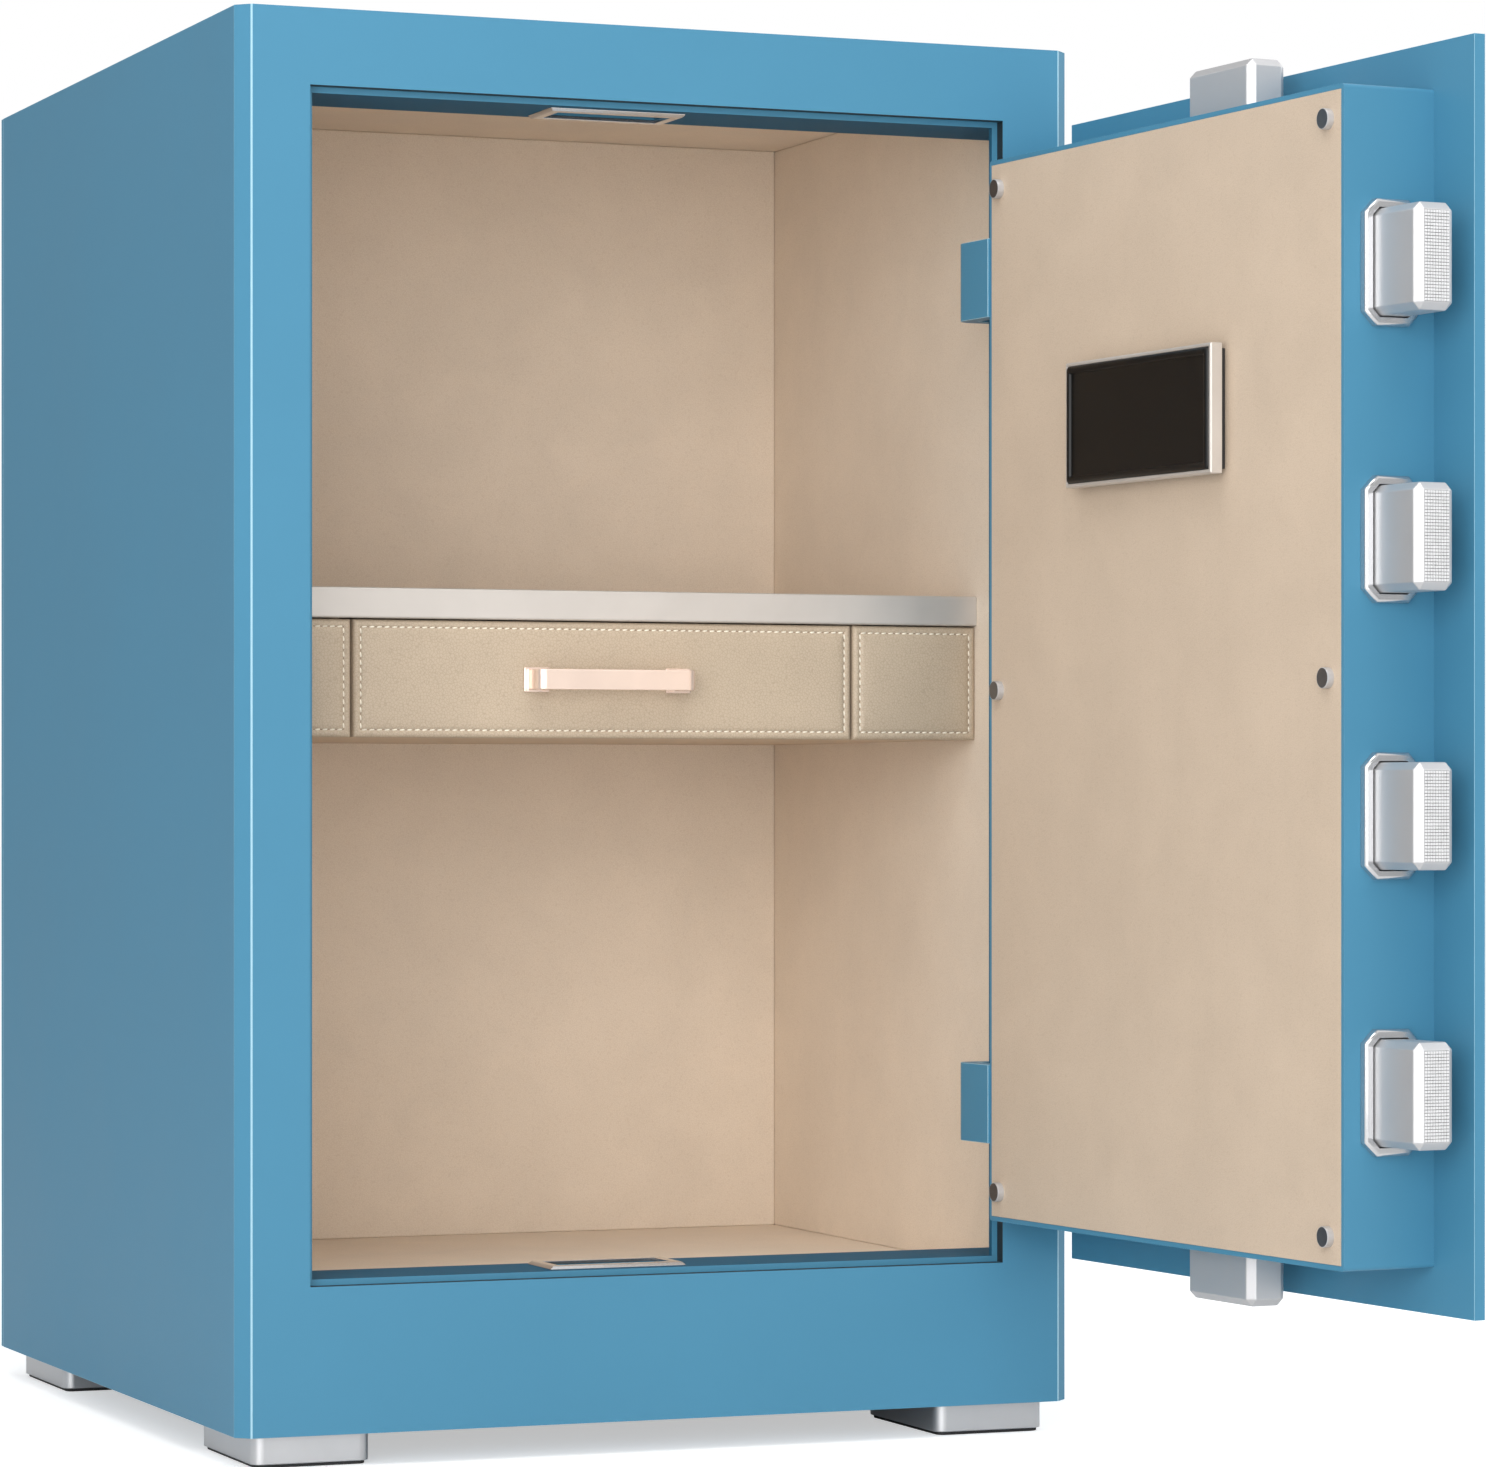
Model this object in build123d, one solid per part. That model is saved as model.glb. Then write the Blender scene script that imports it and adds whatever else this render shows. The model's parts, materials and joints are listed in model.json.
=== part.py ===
from build123d import *
import math
import os

# A free-standing home safe with a drawer, shown with its door open.
# Frame: X to the right, the door faces -Y, +Z up. The origin is the centre of the body's underside,
# where the floor anchor holes are centred. The feet reach below it. Millimetres.

# ---- how far a cutting body runs past the face that it cuts ----
CUT = 1.0

# ---- cabinet ----
WIDTH = 384.0
DEPTH = 408.0
HEIGHT = 600.0
SHELL_T = 3.0
BACK_T = 4.0
FRONT_T = 6.0
CORNER_BEVEL = 6.0
LEFT = -WIDTH / 2
RIGHT = WIDTH / 2
FRONT = -DEPTH / 2
BACK = DEPTH / 2

# ---- door opening in the front frame ----
OPEN_LEFT = LEFT + 31.5
OPEN_RIGHT = RIGHT - 33.0
OPEN_LOW = 62.5
OPEN_HIGH = 567.5
LEDGE = 2.6
FRAME_T = 3.0
FRAME_BACK = FRONT + 47.0
FRAME_LAP = 12.0
JAMB_LEFT = OPEN_LEFT + LEDGE
JAMB_RIGHT = OPEN_RIGHT - LEDGE
JAMB_LOW = OPEN_LOW + LEDGE
JAMB_HIGH = OPEN_HIGH - LEDGE

# ---- interior ----
LINING_T = 2.5
IN_LEFT = LEFT + 12.5
IN_RIGHT = RIGHT - 12.5
IN_LOW = 55.0
IN_HIGH = 591.0
IN_BACK = FRONT + 317.0
POCKET_BACK = FRONT + 58.0
BOARD_MARGIN = 10.0

# ---- anchor holes ----
ANCHOR_R = 6.5
ANCHOR_SPACING = 240.0
WALL_ANCHOR_Z = 450.0

# ---- feet ----
FOOT_H = 12.5
FOOT_W = 52.0
FOOT_D = 78.0
FOOT_INSET = 9.0
PAD_SHOWS = 1.5
PAD_DEEP = 3.0
PAD_MARGIN = 1.5
FOOT_CORNER_R = 5.0
PAD_CORNER_R = 3.5
FOOT_SCREW_R = 4.0
FOOT_SCREW_PLAY = 0.2
FOOT_HEAD_R = 7.0
FOOT_HEAD_T = 3.0
FOOT_FLOOR_T = 5.0

# ---- shelf and drawer ----
SHELF_FRONT = FRONT + 76.0
SHELF_LOW = 347.0
SHELF_T = 10.0
RAIL_HIGH = 360.0
RAIL_T = 3.0
RAIL_TOP_D = 12.0
RAIL_DROP = 0.5
RAIL_R = 1.0
CLEAT_W = 12.0
CLEAT_SETBACK = 10.0
FASCIA_FRONT = FRONT + 74.0
FASCIA_T = 8.0
FASCIA_LOW = 294.5
FASCIA_HIGH = 346.0
DRAWER_W = 235.6
DRAWER_GAP = 1.2
DRAWER_BOX_W = 231.4
DRAWER_BACK = FRONT + 300.0
DRAWER_LOW = 299.5
DRAWER_HIGH = 338.0
DRAWER_BOTTOM_T = 2.5
PANEL_T = 4.0
LEATHER_R = 1.2
BAY_FLOOR_T = 3.0
UPRIGHT_SPACE = 6.3
RUNNER_SETBACK = 2.0
RUNNER_Z = (308.0, 328.0)
RUNNER_LIP_T = 2.0
RUNNER_LIP_GAP = 0.8
RUNNER_WEB_T = 3.5
STRIP_T = 2.3
STRIP_Z = (311.0, 325.0)

# ---- drawer handle ----
PULL_LENGTH = 75.0
PULL_H = 9.0
PULL_REACH = 14.0
PULL_BAR_T = 4.0
PULL_POST_W = 6.0
PULL_OUTER_R = 4.0
PULL_INNER_R = 2.5
PULL_FOOT_W = 12.0
PULL_FOOT_T = 1.2
PULL_FOOT_RIM = 1.0

# ---- door, drawn closed, then swung open about its pivot ----
DOOR_OPEN_DEG = 94.5
PIVOT_X = RIGHT - 14.0
PIVOT_Y = FRONT + 14.0
PLATE_T = 5.0
PLATE_LEFT = OPEN_LEFT + 1.5
PLATE_RIGHT = OPEN_RIGHT - 3.0
PLATE_LOW = OPEN_LOW + 1.5
PLATE_HIGH = OPEN_HIGH - 1.5
PLATE_EDGE_CUT = 1.0
CASE_LEFT = PLATE_LEFT + 28.0
CASE_RIGHT = PLATE_RIGHT - 2.0
CASE_LOW = 82.5
CASE_HIGH = 547.5
CASE_FRONT = FRONT + PLATE_T
CASE_BACK = FRONT + 47.0
CASE_T = 2.0
CASE_CORNER_R = 1.5
FLANGE_W = 14.0
DOOR_LINING_T = 1.9
LINING_PLAY = 0.1
LINING_FACE = CASE_BACK + 0.2
LINING_REAR = LINING_FACE - DOOR_LINING_T
SCREW_R = 2.0
SCREW_HEAD_R = 4.2
SCREW_HEAD_T = 3.0
SCREW_EDGE_R = 0.5
SCREW_TIP = CASE_BACK - 5.0
SCREW_XS = (CASE_LEFT + 11.0, CASE_RIGHT - 9.0)
DOOR_MID_Z = (CASE_LOW + CASE_HIGH) / 2
SCREW_ZS = (CASE_LOW + 13.0, DOOR_MID_Z, CASE_HIGH - 13.0)

# ---- bolts, all thrown ----
BOLT_TRAVEL = 24.0
BOLT_Y = FRONT + 26.5
BOLT_T = 18.0
SIDE_BOLT_H = 42.0
SIDE_BOLT_PITCH = 108.5
SIDE_BOLT_SHOWS = 34.0
SIDE_BOLT_LENGTH = 77.0
END_BOLT_W = 50.0
END_BOLT_SHOWS = 22.0
END_BOLT_LENGTH = 80.0
BOLT_BEVEL = 3.0
BOLT_PLAY = 0.5
SURROUND_RIM = 4.0
SURROUND_T = 4.0
SURROUND_CUT = 5.5
SURROUND_R = 1.4
STRIKE_PLAY = 1.0
STRIKE_RIM = 5.0
STRIKE_T = 1.6
STRIKE_BEVEL = 1.2
SIDE_BOLT_ZS = [DOOR_MID_Z + SIDE_BOLT_PITCH * (i - 1.5) for i in range(4)]

# ---- lock works, about the spindle ----
SPINDLE_X = -18.0
SPINDLE_R = 6.0
CAM_RADIUS = 24.0
CAM_REST_DEG = 30.0
CAM_PIN_R = 3.0
CAM_DISC_R = 30.0
CAM_FRONT = FRONT + 30.0
CAM_T = 4.0
PIN_PLAY = 0.5
RUN_PLAY = 0.06
BAR_T = 4.0
CARRIAGE_T = 6.0
CARRIAGE_FRONT = BOLT_Y - 12.0
TAB_Y = (FRONT + 37.0, FRONT + 41.0)
TAB_Z = (DOOR_MID_Z + 7.0, DOOR_MID_Z + 37.0)
TAB_RIGHT = SPINDLE_X - 3.0
TAB_SLOT_Z = (DOOR_MID_Z + 16.5, DOOR_MID_Z + 28.5)
PIN_REACH_FRONT = FRONT + 21.0
END_BAR_Y = BOLT_Y - 1.0
END_BAR_X = (SPINDLE_X + 9.0, SPINDLE_X + 24.0)
END_BAR_FOOT_X = (SPINDLE_X + 9.0, SPINDLE_X + 34.0)
END_BAR_FOOT_Z = (DOOR_MID_Z + 4.0, DOOR_MID_Z + 30.0)
END_BAR_SLOT_X = (SPINDLE_X + 17.0, SPINDLE_X + 28.0)
GUIDE_X = (CASE_LEFT + 21.0, CASE_LEFT + 25.0)
GUIDE_H = 390.0
END_GUIDE_W = 72.0
END_GUIDE_Z = (CASE_HIGH - 32.0, CASE_HIGH - 29.0)
HARD_PLATE_W = 90.0
HARD_PLATE_H = 100.0
HARD_PLATE_T = 2.5
BLOCKER_X = SPINDLE_X - 28.0
BLOCKER_Y = FRONT + 39.0
BLOCKER_R = 3.0
BLOCKER_Z = (DOOR_MID_Z - 15.0, DOOR_MID_Z + 5.0)
BLOCKER_NOTCH_W = 7.2
BLOCKER_NOTCH_Z = (DOOR_MID_Z + 6.0, DOOR_MID_Z + 16.0)
MOTOR_W = 22.0
MOTOR_D = 8.0
MOTOR_Z = (DOOR_MID_Z - 31.0, DOOR_MID_Z - 5.0)
MOTOR_R = 2.0

# ---- outside of the door ----
KEYPAD_Z = DOOR_MID_Z + 147.0
KEY_Z = DOOR_MID_Z - 95.0
KEY_COVER_Z = DOOR_MID_Z - 70.0
HANDLE_LENGTH = 120.0
HANDLE_H = 20.0
HANDLE_FRONT = FRONT - 48.0
HANDLE_T = 14.0
HANDLE_END_R = 9.0
HANDLE_EDGE_R = 4.0
NECK_R = 12.0
NECK_BACK = FRONT - 10.5
SPINDLE_FRONT = FRONT - 28.0
SPINDLE_BACK = CAM_FRONT + CAM_T + 2.0
SPINDLE_HOLE_PLAY = 0.5
ROSE_R = 30.0
ROSE_T = 9.0
ROSE_EDGE_R = 3.0
KEYPAD_W = 90.0
KEYPAD_H = 138.0
KEYPAD_T = 10.0
KEYPAD_CORNER_R = 10.0
KEYPAD_EDGE_R = 2.0
GLASS_MARGIN = 4.0
GLASS_T = 2.0
GLASS_PROUD = 0.6
GLASS_CORNER_R = 7.0
LEAD_HOLE_R = 6.0
KEY_BODY_R = 11.0
KEY_COLLAR_R = 15.0
KEY_COLLAR_T = 4.0
KEY_BODY_BACK = FRONT + 20.0
PLUG_R = 6.0
PLUG_BACK = FRONT + 17.0
KEYWAY_W = 2.0
KEYWAY_H = 8.0
KEYWAY_BACK = FRONT + 12.0
COVER_Y = (FRONT - 8.0, FRONT - 5.0)
COVER_R = 16.0
COVER_LUG_R = 8.0
COVER_NECK_W = 16.0
COVER_PIN_R = 2.5
COVER_PIN_FRONT = FRONT - 9.0
COVER_COLLAR_R = 5.0
COVER_EDGE_R = 0.8
PIN_HEAD_Y = (FRONT - 10.2, FRONT - 8.2)
PIN_COLLAR_FRONT = FRONT - 4.8

# ---- battery box and tray; tray spans are low and high values ----
BOX_BASE_T = 2.6
BOX_BASE_RIM = 3.0
BOX_BAND_T = 5.6
BOX_BAND_RIM = 5.0
BOX_BAND_R = 0.8
BOX_COVER_T = 6.4
BOX_COVER_RIM = 3.4
BOX_COVER_BEVEL = 1.4
TRAY_WALL = 1.5
TRAY_LIP = 2.0
CELL_R = 7.1
CELL_LENGTH = 49.0
CELL_SPACING_X = 51.2
CELL_SPACING_Z = 18.0
CELL_Y = FRONT + 38.0
CELL_NUB_R = 2.6
CELL_NUB_T = 1.0
TRAY_FRONT = FRONT + 28.5
TRAY_X = (-40.0, 68.0)
TRAY_Z = (404.5, 447.5)

# ---- hinges ----
HINGE_ZS = [DOOR_MID_Z - 181.5, DOOR_MID_Z + 181.5]
HINGE_H = 34.5
BARREL_R = 6.0
HINGE_PIN_R = 4.0
LUG_H = 8.0
LUG_GAP = 0.5
HINGE_PIN_OVER = 1.0
ARM_Y = (FRONT + 40.0, FRONT + 48.0)
ARM_BEND_R = 7.0
ARM_PLAY = 0.5


def block(x, y, z):
    """A box between the low and high values given for each axis."""
    size = [high - low for low, high in (x, y, z)]
    middle = [(low + high) / 2 for low, high in (x, y, z)]
    return Pos(*middle) * Box(*size)


def about(middle, size):
    """Low and high values of a span from its middle and its size."""
    return (middle - size / 2, middle + size / 2)


def rod_y(x, z, r, y_low, y_high):
    """A round bar along Y."""
    return Pos(x, (y_low + y_high) / 2, z) * Rot(90, 0, 0) * Cylinder(r, y_high - y_low)


def rod_z(x, y, r, z_low, z_high):
    """A round bar along Z."""
    return Pos(x, y, (z_low + z_high) / 2) * Cylinder(r, z_high - z_low)


def rounded(solid, axis, r):
    """The solid with the edges along one axis rounded."""
    return fillet(solid.edges().filter_by(axis), r)


def bevelled(solid, axis, size):
    """The solid with the edges along one axis cut to a flat bevel."""
    return chamfer(solid.edges().filter_by(axis), size)


def swung(shape):
    """A door piece turned from closed to fully open."""
    return Pos(PIVOT_X, PIVOT_Y, 0) * Rot(0, 0, DOOR_OPEN_DEG) * Pos(-PIVOT_X, -PIVOT_Y, 0) * shape


def save(name, *solids):
    """Write one node, as one solid or a group of separate solids."""
    flat = [s for shape in solids for s in shape.solids()]
    shape = flat[0] if len(flat) == 1 else Compound(children=flat)
    shape.label = name
    export_step(shape, f"parts/{name}.step")


def save_door(name, *solids):
    """Write one node of the door, opened."""
    save(name, *[swung(s) for s in solids])


def anchor_rods_z(z_low, z_high):
    """The round bars that cut the floor anchor holes."""
    return [rod_z(side * ANCHOR_SPACING / 2, 0, ANCHOR_R, z_low, z_high) for side in (-1, 1)]


def anchor_rods_y(y_low, y_high):
    """The round bars that cut the wall anchor holes."""
    return [rod_y(side * ANCHOR_SPACING / 2, WALL_ANCHOR_Z, ANCHOR_R, y_low, y_high) for side in (-1, 1)]


# ---------------------------------------------------------------- cabinet


def cabinet_shell():
    """A folded steel tube: two sides, the top and the bottom."""
    outside = block((LEFT, RIGHT), (FRONT + FRONT_T, BACK - BACK_T), (0, HEIGHT))
    inside = block((LEFT + SHELL_T, RIGHT - SHELL_T), (FRONT, BACK), (SHELL_T, HEIGHT - SHELL_T))
    shell = outside - inside
    for rod in anchor_rods_z(-1, SHELL_T + 1):
        shell -= rod
    for x, y in foot_spots():
        shell -= rod_z(x, y, FOOT_SCREW_R + FOOT_SCREW_PLAY, -CUT, SHELL_T + CUT)
    return shell


def back_plate():
    """The steel plate that closes the back, with two wall anchor holes."""
    plate = block((LEFT, RIGHT), (BACK - BACK_T, BACK), (0, HEIGHT))
    for rod in anchor_rods_y(BACK - BACK_T - 1, BACK + 1):
        plate -= rod
    return plate


def front_frame():
    """The thick plate round the door opening, with its two upright corners bevelled."""
    plate = block((LEFT, RIGHT), (FRONT, FRONT + FRONT_T), (0, HEIGHT))
    corners = plate.edges().filter_by(Axis.Z).sort_by(Axis.Y)[:2]
    plate = chamfer(corners, CORNER_BEVEL - 0.1)
    return plate - block((OPEN_LEFT, OPEN_RIGHT), (FRONT - 1, FRONT + FRONT_T + 1), (OPEN_LOW, OPEN_HIGH))


def door_frame():
    """The stop ledge and its returns: channels at the top, the bottom and the lock side, and a strip at
    the hinge side, with a slot for each bolt."""
    ledge_y = (FRONT + FRONT_T, FRONT + FRONT_T + FRAME_T)
    full_y = (ledge_y[0], FRAME_BACK)
    rear_y = (FRAME_BACK - FRAME_T, FRAME_BACK)
    shell_x = (LEFT + SHELL_T, RIGHT - SHELL_T)
    frame = block(
        (OPEN_LEFT - FRAME_LAP, JAMB_RIGHT + FRAME_LAP), ledge_y, grown((OPEN_LOW, OPEN_HIGH), FRAME_LAP)
    )
    frame -= block((JAMB_LEFT, JAMB_RIGHT), (FRONT, BACK), (JAMB_LOW, JAMB_HIGH))
    frame += block(shell_x, full_y, (JAMB_HIGH, JAMB_HIGH + FRAME_T))
    frame += block(shell_x, full_y, (JAMB_LOW - FRAME_T, JAMB_LOW))
    frame += block((JAMB_LEFT - FRAME_T, JAMB_LEFT), full_y, (JAMB_LOW, JAMB_HIGH))
    frame += block(shell_x, rear_y, (JAMB_HIGH, IN_HIGH))
    frame += block(shell_x, rear_y, (IN_LOW, JAMB_LOW))
    frame += block((LEFT + SHELL_T, JAMB_LEFT), rear_y, (JAMB_LOW, JAMB_HIGH))
    for strike in strike_slots():
        frame -= strike
    return frame


def strike_slots():
    """The spaces that the thrown bolts fill when the door is shut."""
    bolt_y = about(BOLT_Y, BOLT_T + 2 * STRIKE_PLAY)
    end_x = about(SPINDLE_X, END_BOLT_W + 2 * STRIKE_PLAY)
    slots = [
        block(end_x, bolt_y, (JAMB_HIGH - 3, JAMB_HIGH + FRAME_T + 1)),
        block(end_x, bolt_y, (JAMB_LOW - FRAME_T - 1, JAMB_LOW + 3)),
    ]
    for z in SIDE_BOLT_ZS:
        side_z = about(z, SIDE_BOLT_H + 2 * STRIKE_PLAY)
        slots.append(block((JAMB_LEFT - FRAME_T - 1, JAMB_LEFT + 3), bolt_y, side_z))
    return slots


def strike_plates():
    """Bevelled chrome plates round the bolt slots: top and bottom, then the four at the lock side."""
    wider = 2 * (STRIKE_PLAY + STRIKE_RIM)
    plate_y = about(BOLT_Y, BOLT_T + wider)
    end_x = about(SPINDLE_X, END_BOLT_W + wider)
    ends = [
        block(end_x, plate_y, (JAMB_HIGH - STRIKE_T, JAMB_HIGH)),
        block(end_x, plate_y, (JAMB_LOW, JAMB_LOW + STRIKE_T)),
    ]
    ends[0] = chamfer(ends[0].faces().sort_by(Axis.Z)[0].edges(), STRIKE_BEVEL)
    ends[1] = chamfer(ends[1].faces().sort_by(Axis.Z)[-1].edges(), STRIKE_BEVEL)
    sides = []
    for z in SIDE_BOLT_ZS:
        plate = block((JAMB_LEFT, JAMB_LEFT + STRIKE_T), plate_y, about(z, SIDE_BOLT_H + wider))
        sides.append(chamfer(plate.faces().sort_by(Axis.X)[-1].edges(), STRIKE_BEVEL))
    for slot in strike_slots():
        ends = [plate - slot for plate in ends]
        sides = [plate - slot for plate in sides]
    return ends, sides


def fillers():
    """Fire board in the back and in the floor, drilled for the anchors."""
    back_z = (BOARD_MARGIN, HEIGHT - BOARD_MARGIN)
    back = block((IN_LEFT - LINING_T, IN_RIGHT + LINING_T), (IN_BACK + LINING_T, BACK - BACK_T), back_z)
    for rod in anchor_rods_y(IN_BACK, BACK):
        back -= rod
    low_x = (IN_LEFT - LINING_T, IN_RIGHT + LINING_T)
    floor = block(low_x, (FRAME_BACK + CUT, IN_BACK + LINING_T), (SHELL_T, IN_LOW - LINING_T))
    for rod in anchor_rods_z(0, IN_LOW):
        floor -= rod
    return back, floor


def linings():
    """The five boards that line the inside. They cover the anchor holes until one is used."""
    side_z = (IN_LOW, IN_HIGH)
    across = (IN_LEFT - LINING_T, IN_RIGHT + LINING_T)
    back = block((IN_LEFT, IN_RIGHT), (IN_BACK, IN_BACK + LINING_T), side_z)
    left = block((across[0], IN_LEFT), (FRAME_BACK, IN_BACK + LINING_T), side_z)
    right = block((IN_RIGHT, across[1]), (POCKET_BACK, IN_BACK + LINING_T), side_z)
    right += block((IN_RIGHT, RIGHT - SHELL_T), (POCKET_BACK, POCKET_BACK + LINING_T), side_z)
    ceiling = block(across, (FRAME_BACK, IN_BACK + LINING_T), (IN_HIGH, IN_HIGH + LINING_T))
    floor = block(across, (FRAME_BACK, IN_BACK + LINING_T), (IN_LOW - LINING_T, IN_LOW))
    return {"back": back, "left": left, "right": right, "ceiling": ceiling, "floor": floor}


def foot_spots():
    """The middle of each foot."""
    x = WIDTH / 2 - FOOT_INSET - FOOT_W / 2
    y = DEPTH / 2 - FOOT_INSET - FOOT_D / 2
    return [(side_x * x, side_y * y) for side_x in (-1, 1) for side_y in (-1, 1)]


def feet():
    """Four square feet with rounded corners, a rubber pad let into each, and the screws that hold them."""
    shells, pads, screws = [], [], []
    for x, y in foot_spots():
        shell = rounded(block(about(x, FOOT_W), about(y, FOOT_D), (-FOOT_H, 0)), Axis.Z, FOOT_CORNER_R)
        pad_z = (-FOOT_H - PAD_SHOWS, -FOOT_H - PAD_SHOWS + PAD_DEEP)
        pad_x, pad_y = about(x, FOOT_W - 2 * PAD_MARGIN), about(y, FOOT_D - 2 * PAD_MARGIN)
        pad = rounded(block(pad_x, pad_y, pad_z), Axis.Z, PAD_CORNER_R)
        hole = rod_z(x, y, FOOT_SCREW_R + FOOT_SCREW_PLAY, -FOOT_H, CUT)
        head_room = rod_z(x, y, FOOT_HEAD_R + CUT, -FOOT_H - CUT, -FOOT_FLOOR_T)
        shells.append(shell - pad - hole - head_room)
        pads.append(pad)
        head = rod_z(x, y, FOOT_HEAD_R, -FOOT_FLOOR_T - FOOT_HEAD_T, -FOOT_FLOOR_T)
        screws.append(rod_z(x, y, FOOT_SCREW_R, -FOOT_FLOOR_T, SHELL_T) + head)
    return shells, pads, screws


def hinge_brackets():
    """Two lugs for each hinge, welded to the side wall, with the fixed pin through them."""
    lugs, pins = [], []
    for z in HINGE_ZS:
        for side in (-1, 1):
            middle = z + side * (HINGE_H / 2 + LUG_GAP + LUG_H / 2)
            lug = rod_z(PIVOT_X, PIVOT_Y, BARREL_R, *about(middle, LUG_H))
            arm_y = about(PIVOT_Y, 2 * BARREL_R)
            lug += block((PIVOT_X, RIGHT - SHELL_T), arm_y, about(middle, LUG_H))
            lugs.append(lug - rod_z(PIVOT_X, PIVOT_Y, HINGE_PIN_R, *about(middle, LUG_H + 2 * CUT)))
        reach = HINGE_H / 2 + LUG_GAP + LUG_H + HINGE_PIN_OVER
        pins.append(rod_z(PIVOT_X, PIVOT_Y, HINGE_PIN_R, z - reach, z + reach))
    return lugs, pins


# ---------------------------------------------------------------- shelf and drawer


def shelf():
    """The shelf board, its metal front rail, and the two cleats that carry it."""
    board_z = (SHELF_LOW, SHELF_LOW + SHELF_T)
    board = block((IN_LEFT, IN_RIGHT), (SHELF_FRONT, IN_BACK), board_z)
    rail_x = (IN_LEFT, IN_RIGHT)
    rail = block(rail_x, (SHELF_FRONT - RAIL_T, SHELF_FRONT), (SHELF_LOW - RAIL_DROP, RAIL_HIGH))
    rail += block(rail_x, (SHELF_FRONT - RAIL_T, SHELF_FRONT + RAIL_TOP_D), (board_z[1], RAIL_HIGH))
    rail = fillet(rail.edges().filter_by(Axis.X).sort_by(Axis.Y)[:2], RAIL_R)
    cleats = []
    cleat_y, cleat_z = (SHELF_FRONT + CLEAT_SETBACK, IN_BACK), (SHELF_LOW - CLEAT_W, SHELF_LOW)
    for cleat_x in ((IN_LEFT, IN_LEFT + CLEAT_W), (IN_RIGHT - CLEAT_W, IN_RIGHT)):
        cleats.append(block(cleat_x, cleat_y, cleat_z))
    return board, rail, cleats


def drawer_bay():
    """The fixed leather-covered panels, the uprights beside the drawer and the floor under it."""
    half = DRAWER_W / 2 + DRAWER_GAP
    face_y = (FASCIA_FRONT, FASCIA_FRONT + FASCIA_T)
    face_z = (FASCIA_LOW, FASCIA_HIGH)
    left = fillet(block((IN_LEFT, -half), face_y, face_z).edges().group_by(Axis.Y)[0], LEATHER_R)
    right = fillet(block((half, IN_RIGHT), face_y, face_z).edges().group_by(Axis.Y)[0], LEATHER_R)
    panels_y = (FASCIA_FRONT + FASCIA_T, IN_BACK)
    floor = block((IN_LEFT, IN_RIGHT), panels_y, (FASCIA_LOW, FASCIA_LOW + BAY_FLOOR_T))
    uprights = []
    for side in (-1, 1):
        x = side * (DRAWER_BOX_W / 2 + UPRIGHT_SPACE + PANEL_T / 2)
        uprights.append(block(about(x, PANEL_T), panels_y, (FASCIA_LOW + BAY_FLOOR_T, SHELF_LOW)))
    return left, right, floor, uprights


def drawer_runners():
    """The channel fixed to each upright, and the strip on the drawer that slides in it."""
    fixed, moving = [], []
    run_y = (FASCIA_FRONT + FASCIA_T + RUNNER_SETBACK, DRAWER_BACK)
    low, high = RUNNER_Z
    for side in (-1, 1):
        face = DRAWER_BOX_W / 2
        lip_x = (face + RUNNER_LIP_GAP, face + UPRIGHT_SPACE)
        channel = block((lip_x[1] - RUNNER_WEB_T, lip_x[1]), run_y, RUNNER_Z)
        channel += block(lip_x, run_y, (low, low + RUNNER_LIP_T))
        channel += block(lip_x, run_y, (high - RUNNER_LIP_T, high))
        strip = block((face, face + STRIP_T), run_y, STRIP_Z)
        if side < 0:
            channel, strip = mirror(channel, Plane.YZ), mirror(strip, Plane.YZ)
        fixed.append(channel)
        moving.append(strip)
    return fixed, moving


def drawer_boards():
    """The drawer: stitched front, two sides, back and bottom."""
    front = block(about(0, DRAWER_W), (FASCIA_FRONT, FASCIA_FRONT + FASCIA_T), (FASCIA_LOW, FASCIA_HIGH))
    front = fillet(front.edges().group_by(Axis.Y)[0], LEATHER_R)
    side_y = (FASCIA_FRONT + FASCIA_T, DRAWER_BACK)
    wall_z = (DRAWER_LOW, DRAWER_HIGH)
    half = DRAWER_BOX_W / 2
    sides = [block((half - PANEL_T, half), side_y, wall_z), block((-half, PANEL_T - half), side_y, wall_z)]
    inner_x = (PANEL_T - half, half - PANEL_T)
    back = block(inner_x, (DRAWER_BACK - PANEL_T, DRAWER_BACK), wall_z)
    bottom = block(inner_x, (side_y[0], DRAWER_BACK - PANEL_T), (wall_z[0], wall_z[0] + DRAWER_BOTTOM_T))
    return front, sides, back, bottom


def drawer_handle():
    """A flat D-shaped pull: a bar on two rounded posts with small flanges, and its two screws."""
    z = about((FASCIA_LOW + FASCIA_HIGH) / 2, PULL_H)
    outer_y = FASCIA_FRONT - PULL_REACH
    loop = block(about(0, PULL_LENGTH), (outer_y, FASCIA_FRONT), z)
    loop = fillet(loop.edges().filter_by(Axis.Z).sort_by(Axis.Y)[:2], PULL_OUTER_R)
    gap_x = about(0, PULL_LENGTH - 2 * PULL_POST_W)
    gap = block(gap_x, (outer_y + PULL_BAR_T, FASCIA_FRONT + CUT), grown(z, CUT))
    gap = fillet(gap.edges().filter_by(Axis.Z).sort_by(Axis.Y)[:2], PULL_INNER_R)
    pull = loop - gap
    foot_y = (FASCIA_FRONT - PULL_FOOT_T, FASCIA_FRONT)
    for side in (-1, 1):
        foot_x = about(side * (PULL_LENGTH / 2 - PULL_BAR_T), PULL_FOOT_W)
        pull += block(foot_x, foot_y, grown(z, PULL_FOOT_RIM))
    return pull


# ---------------------------------------------------------------- door


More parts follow.
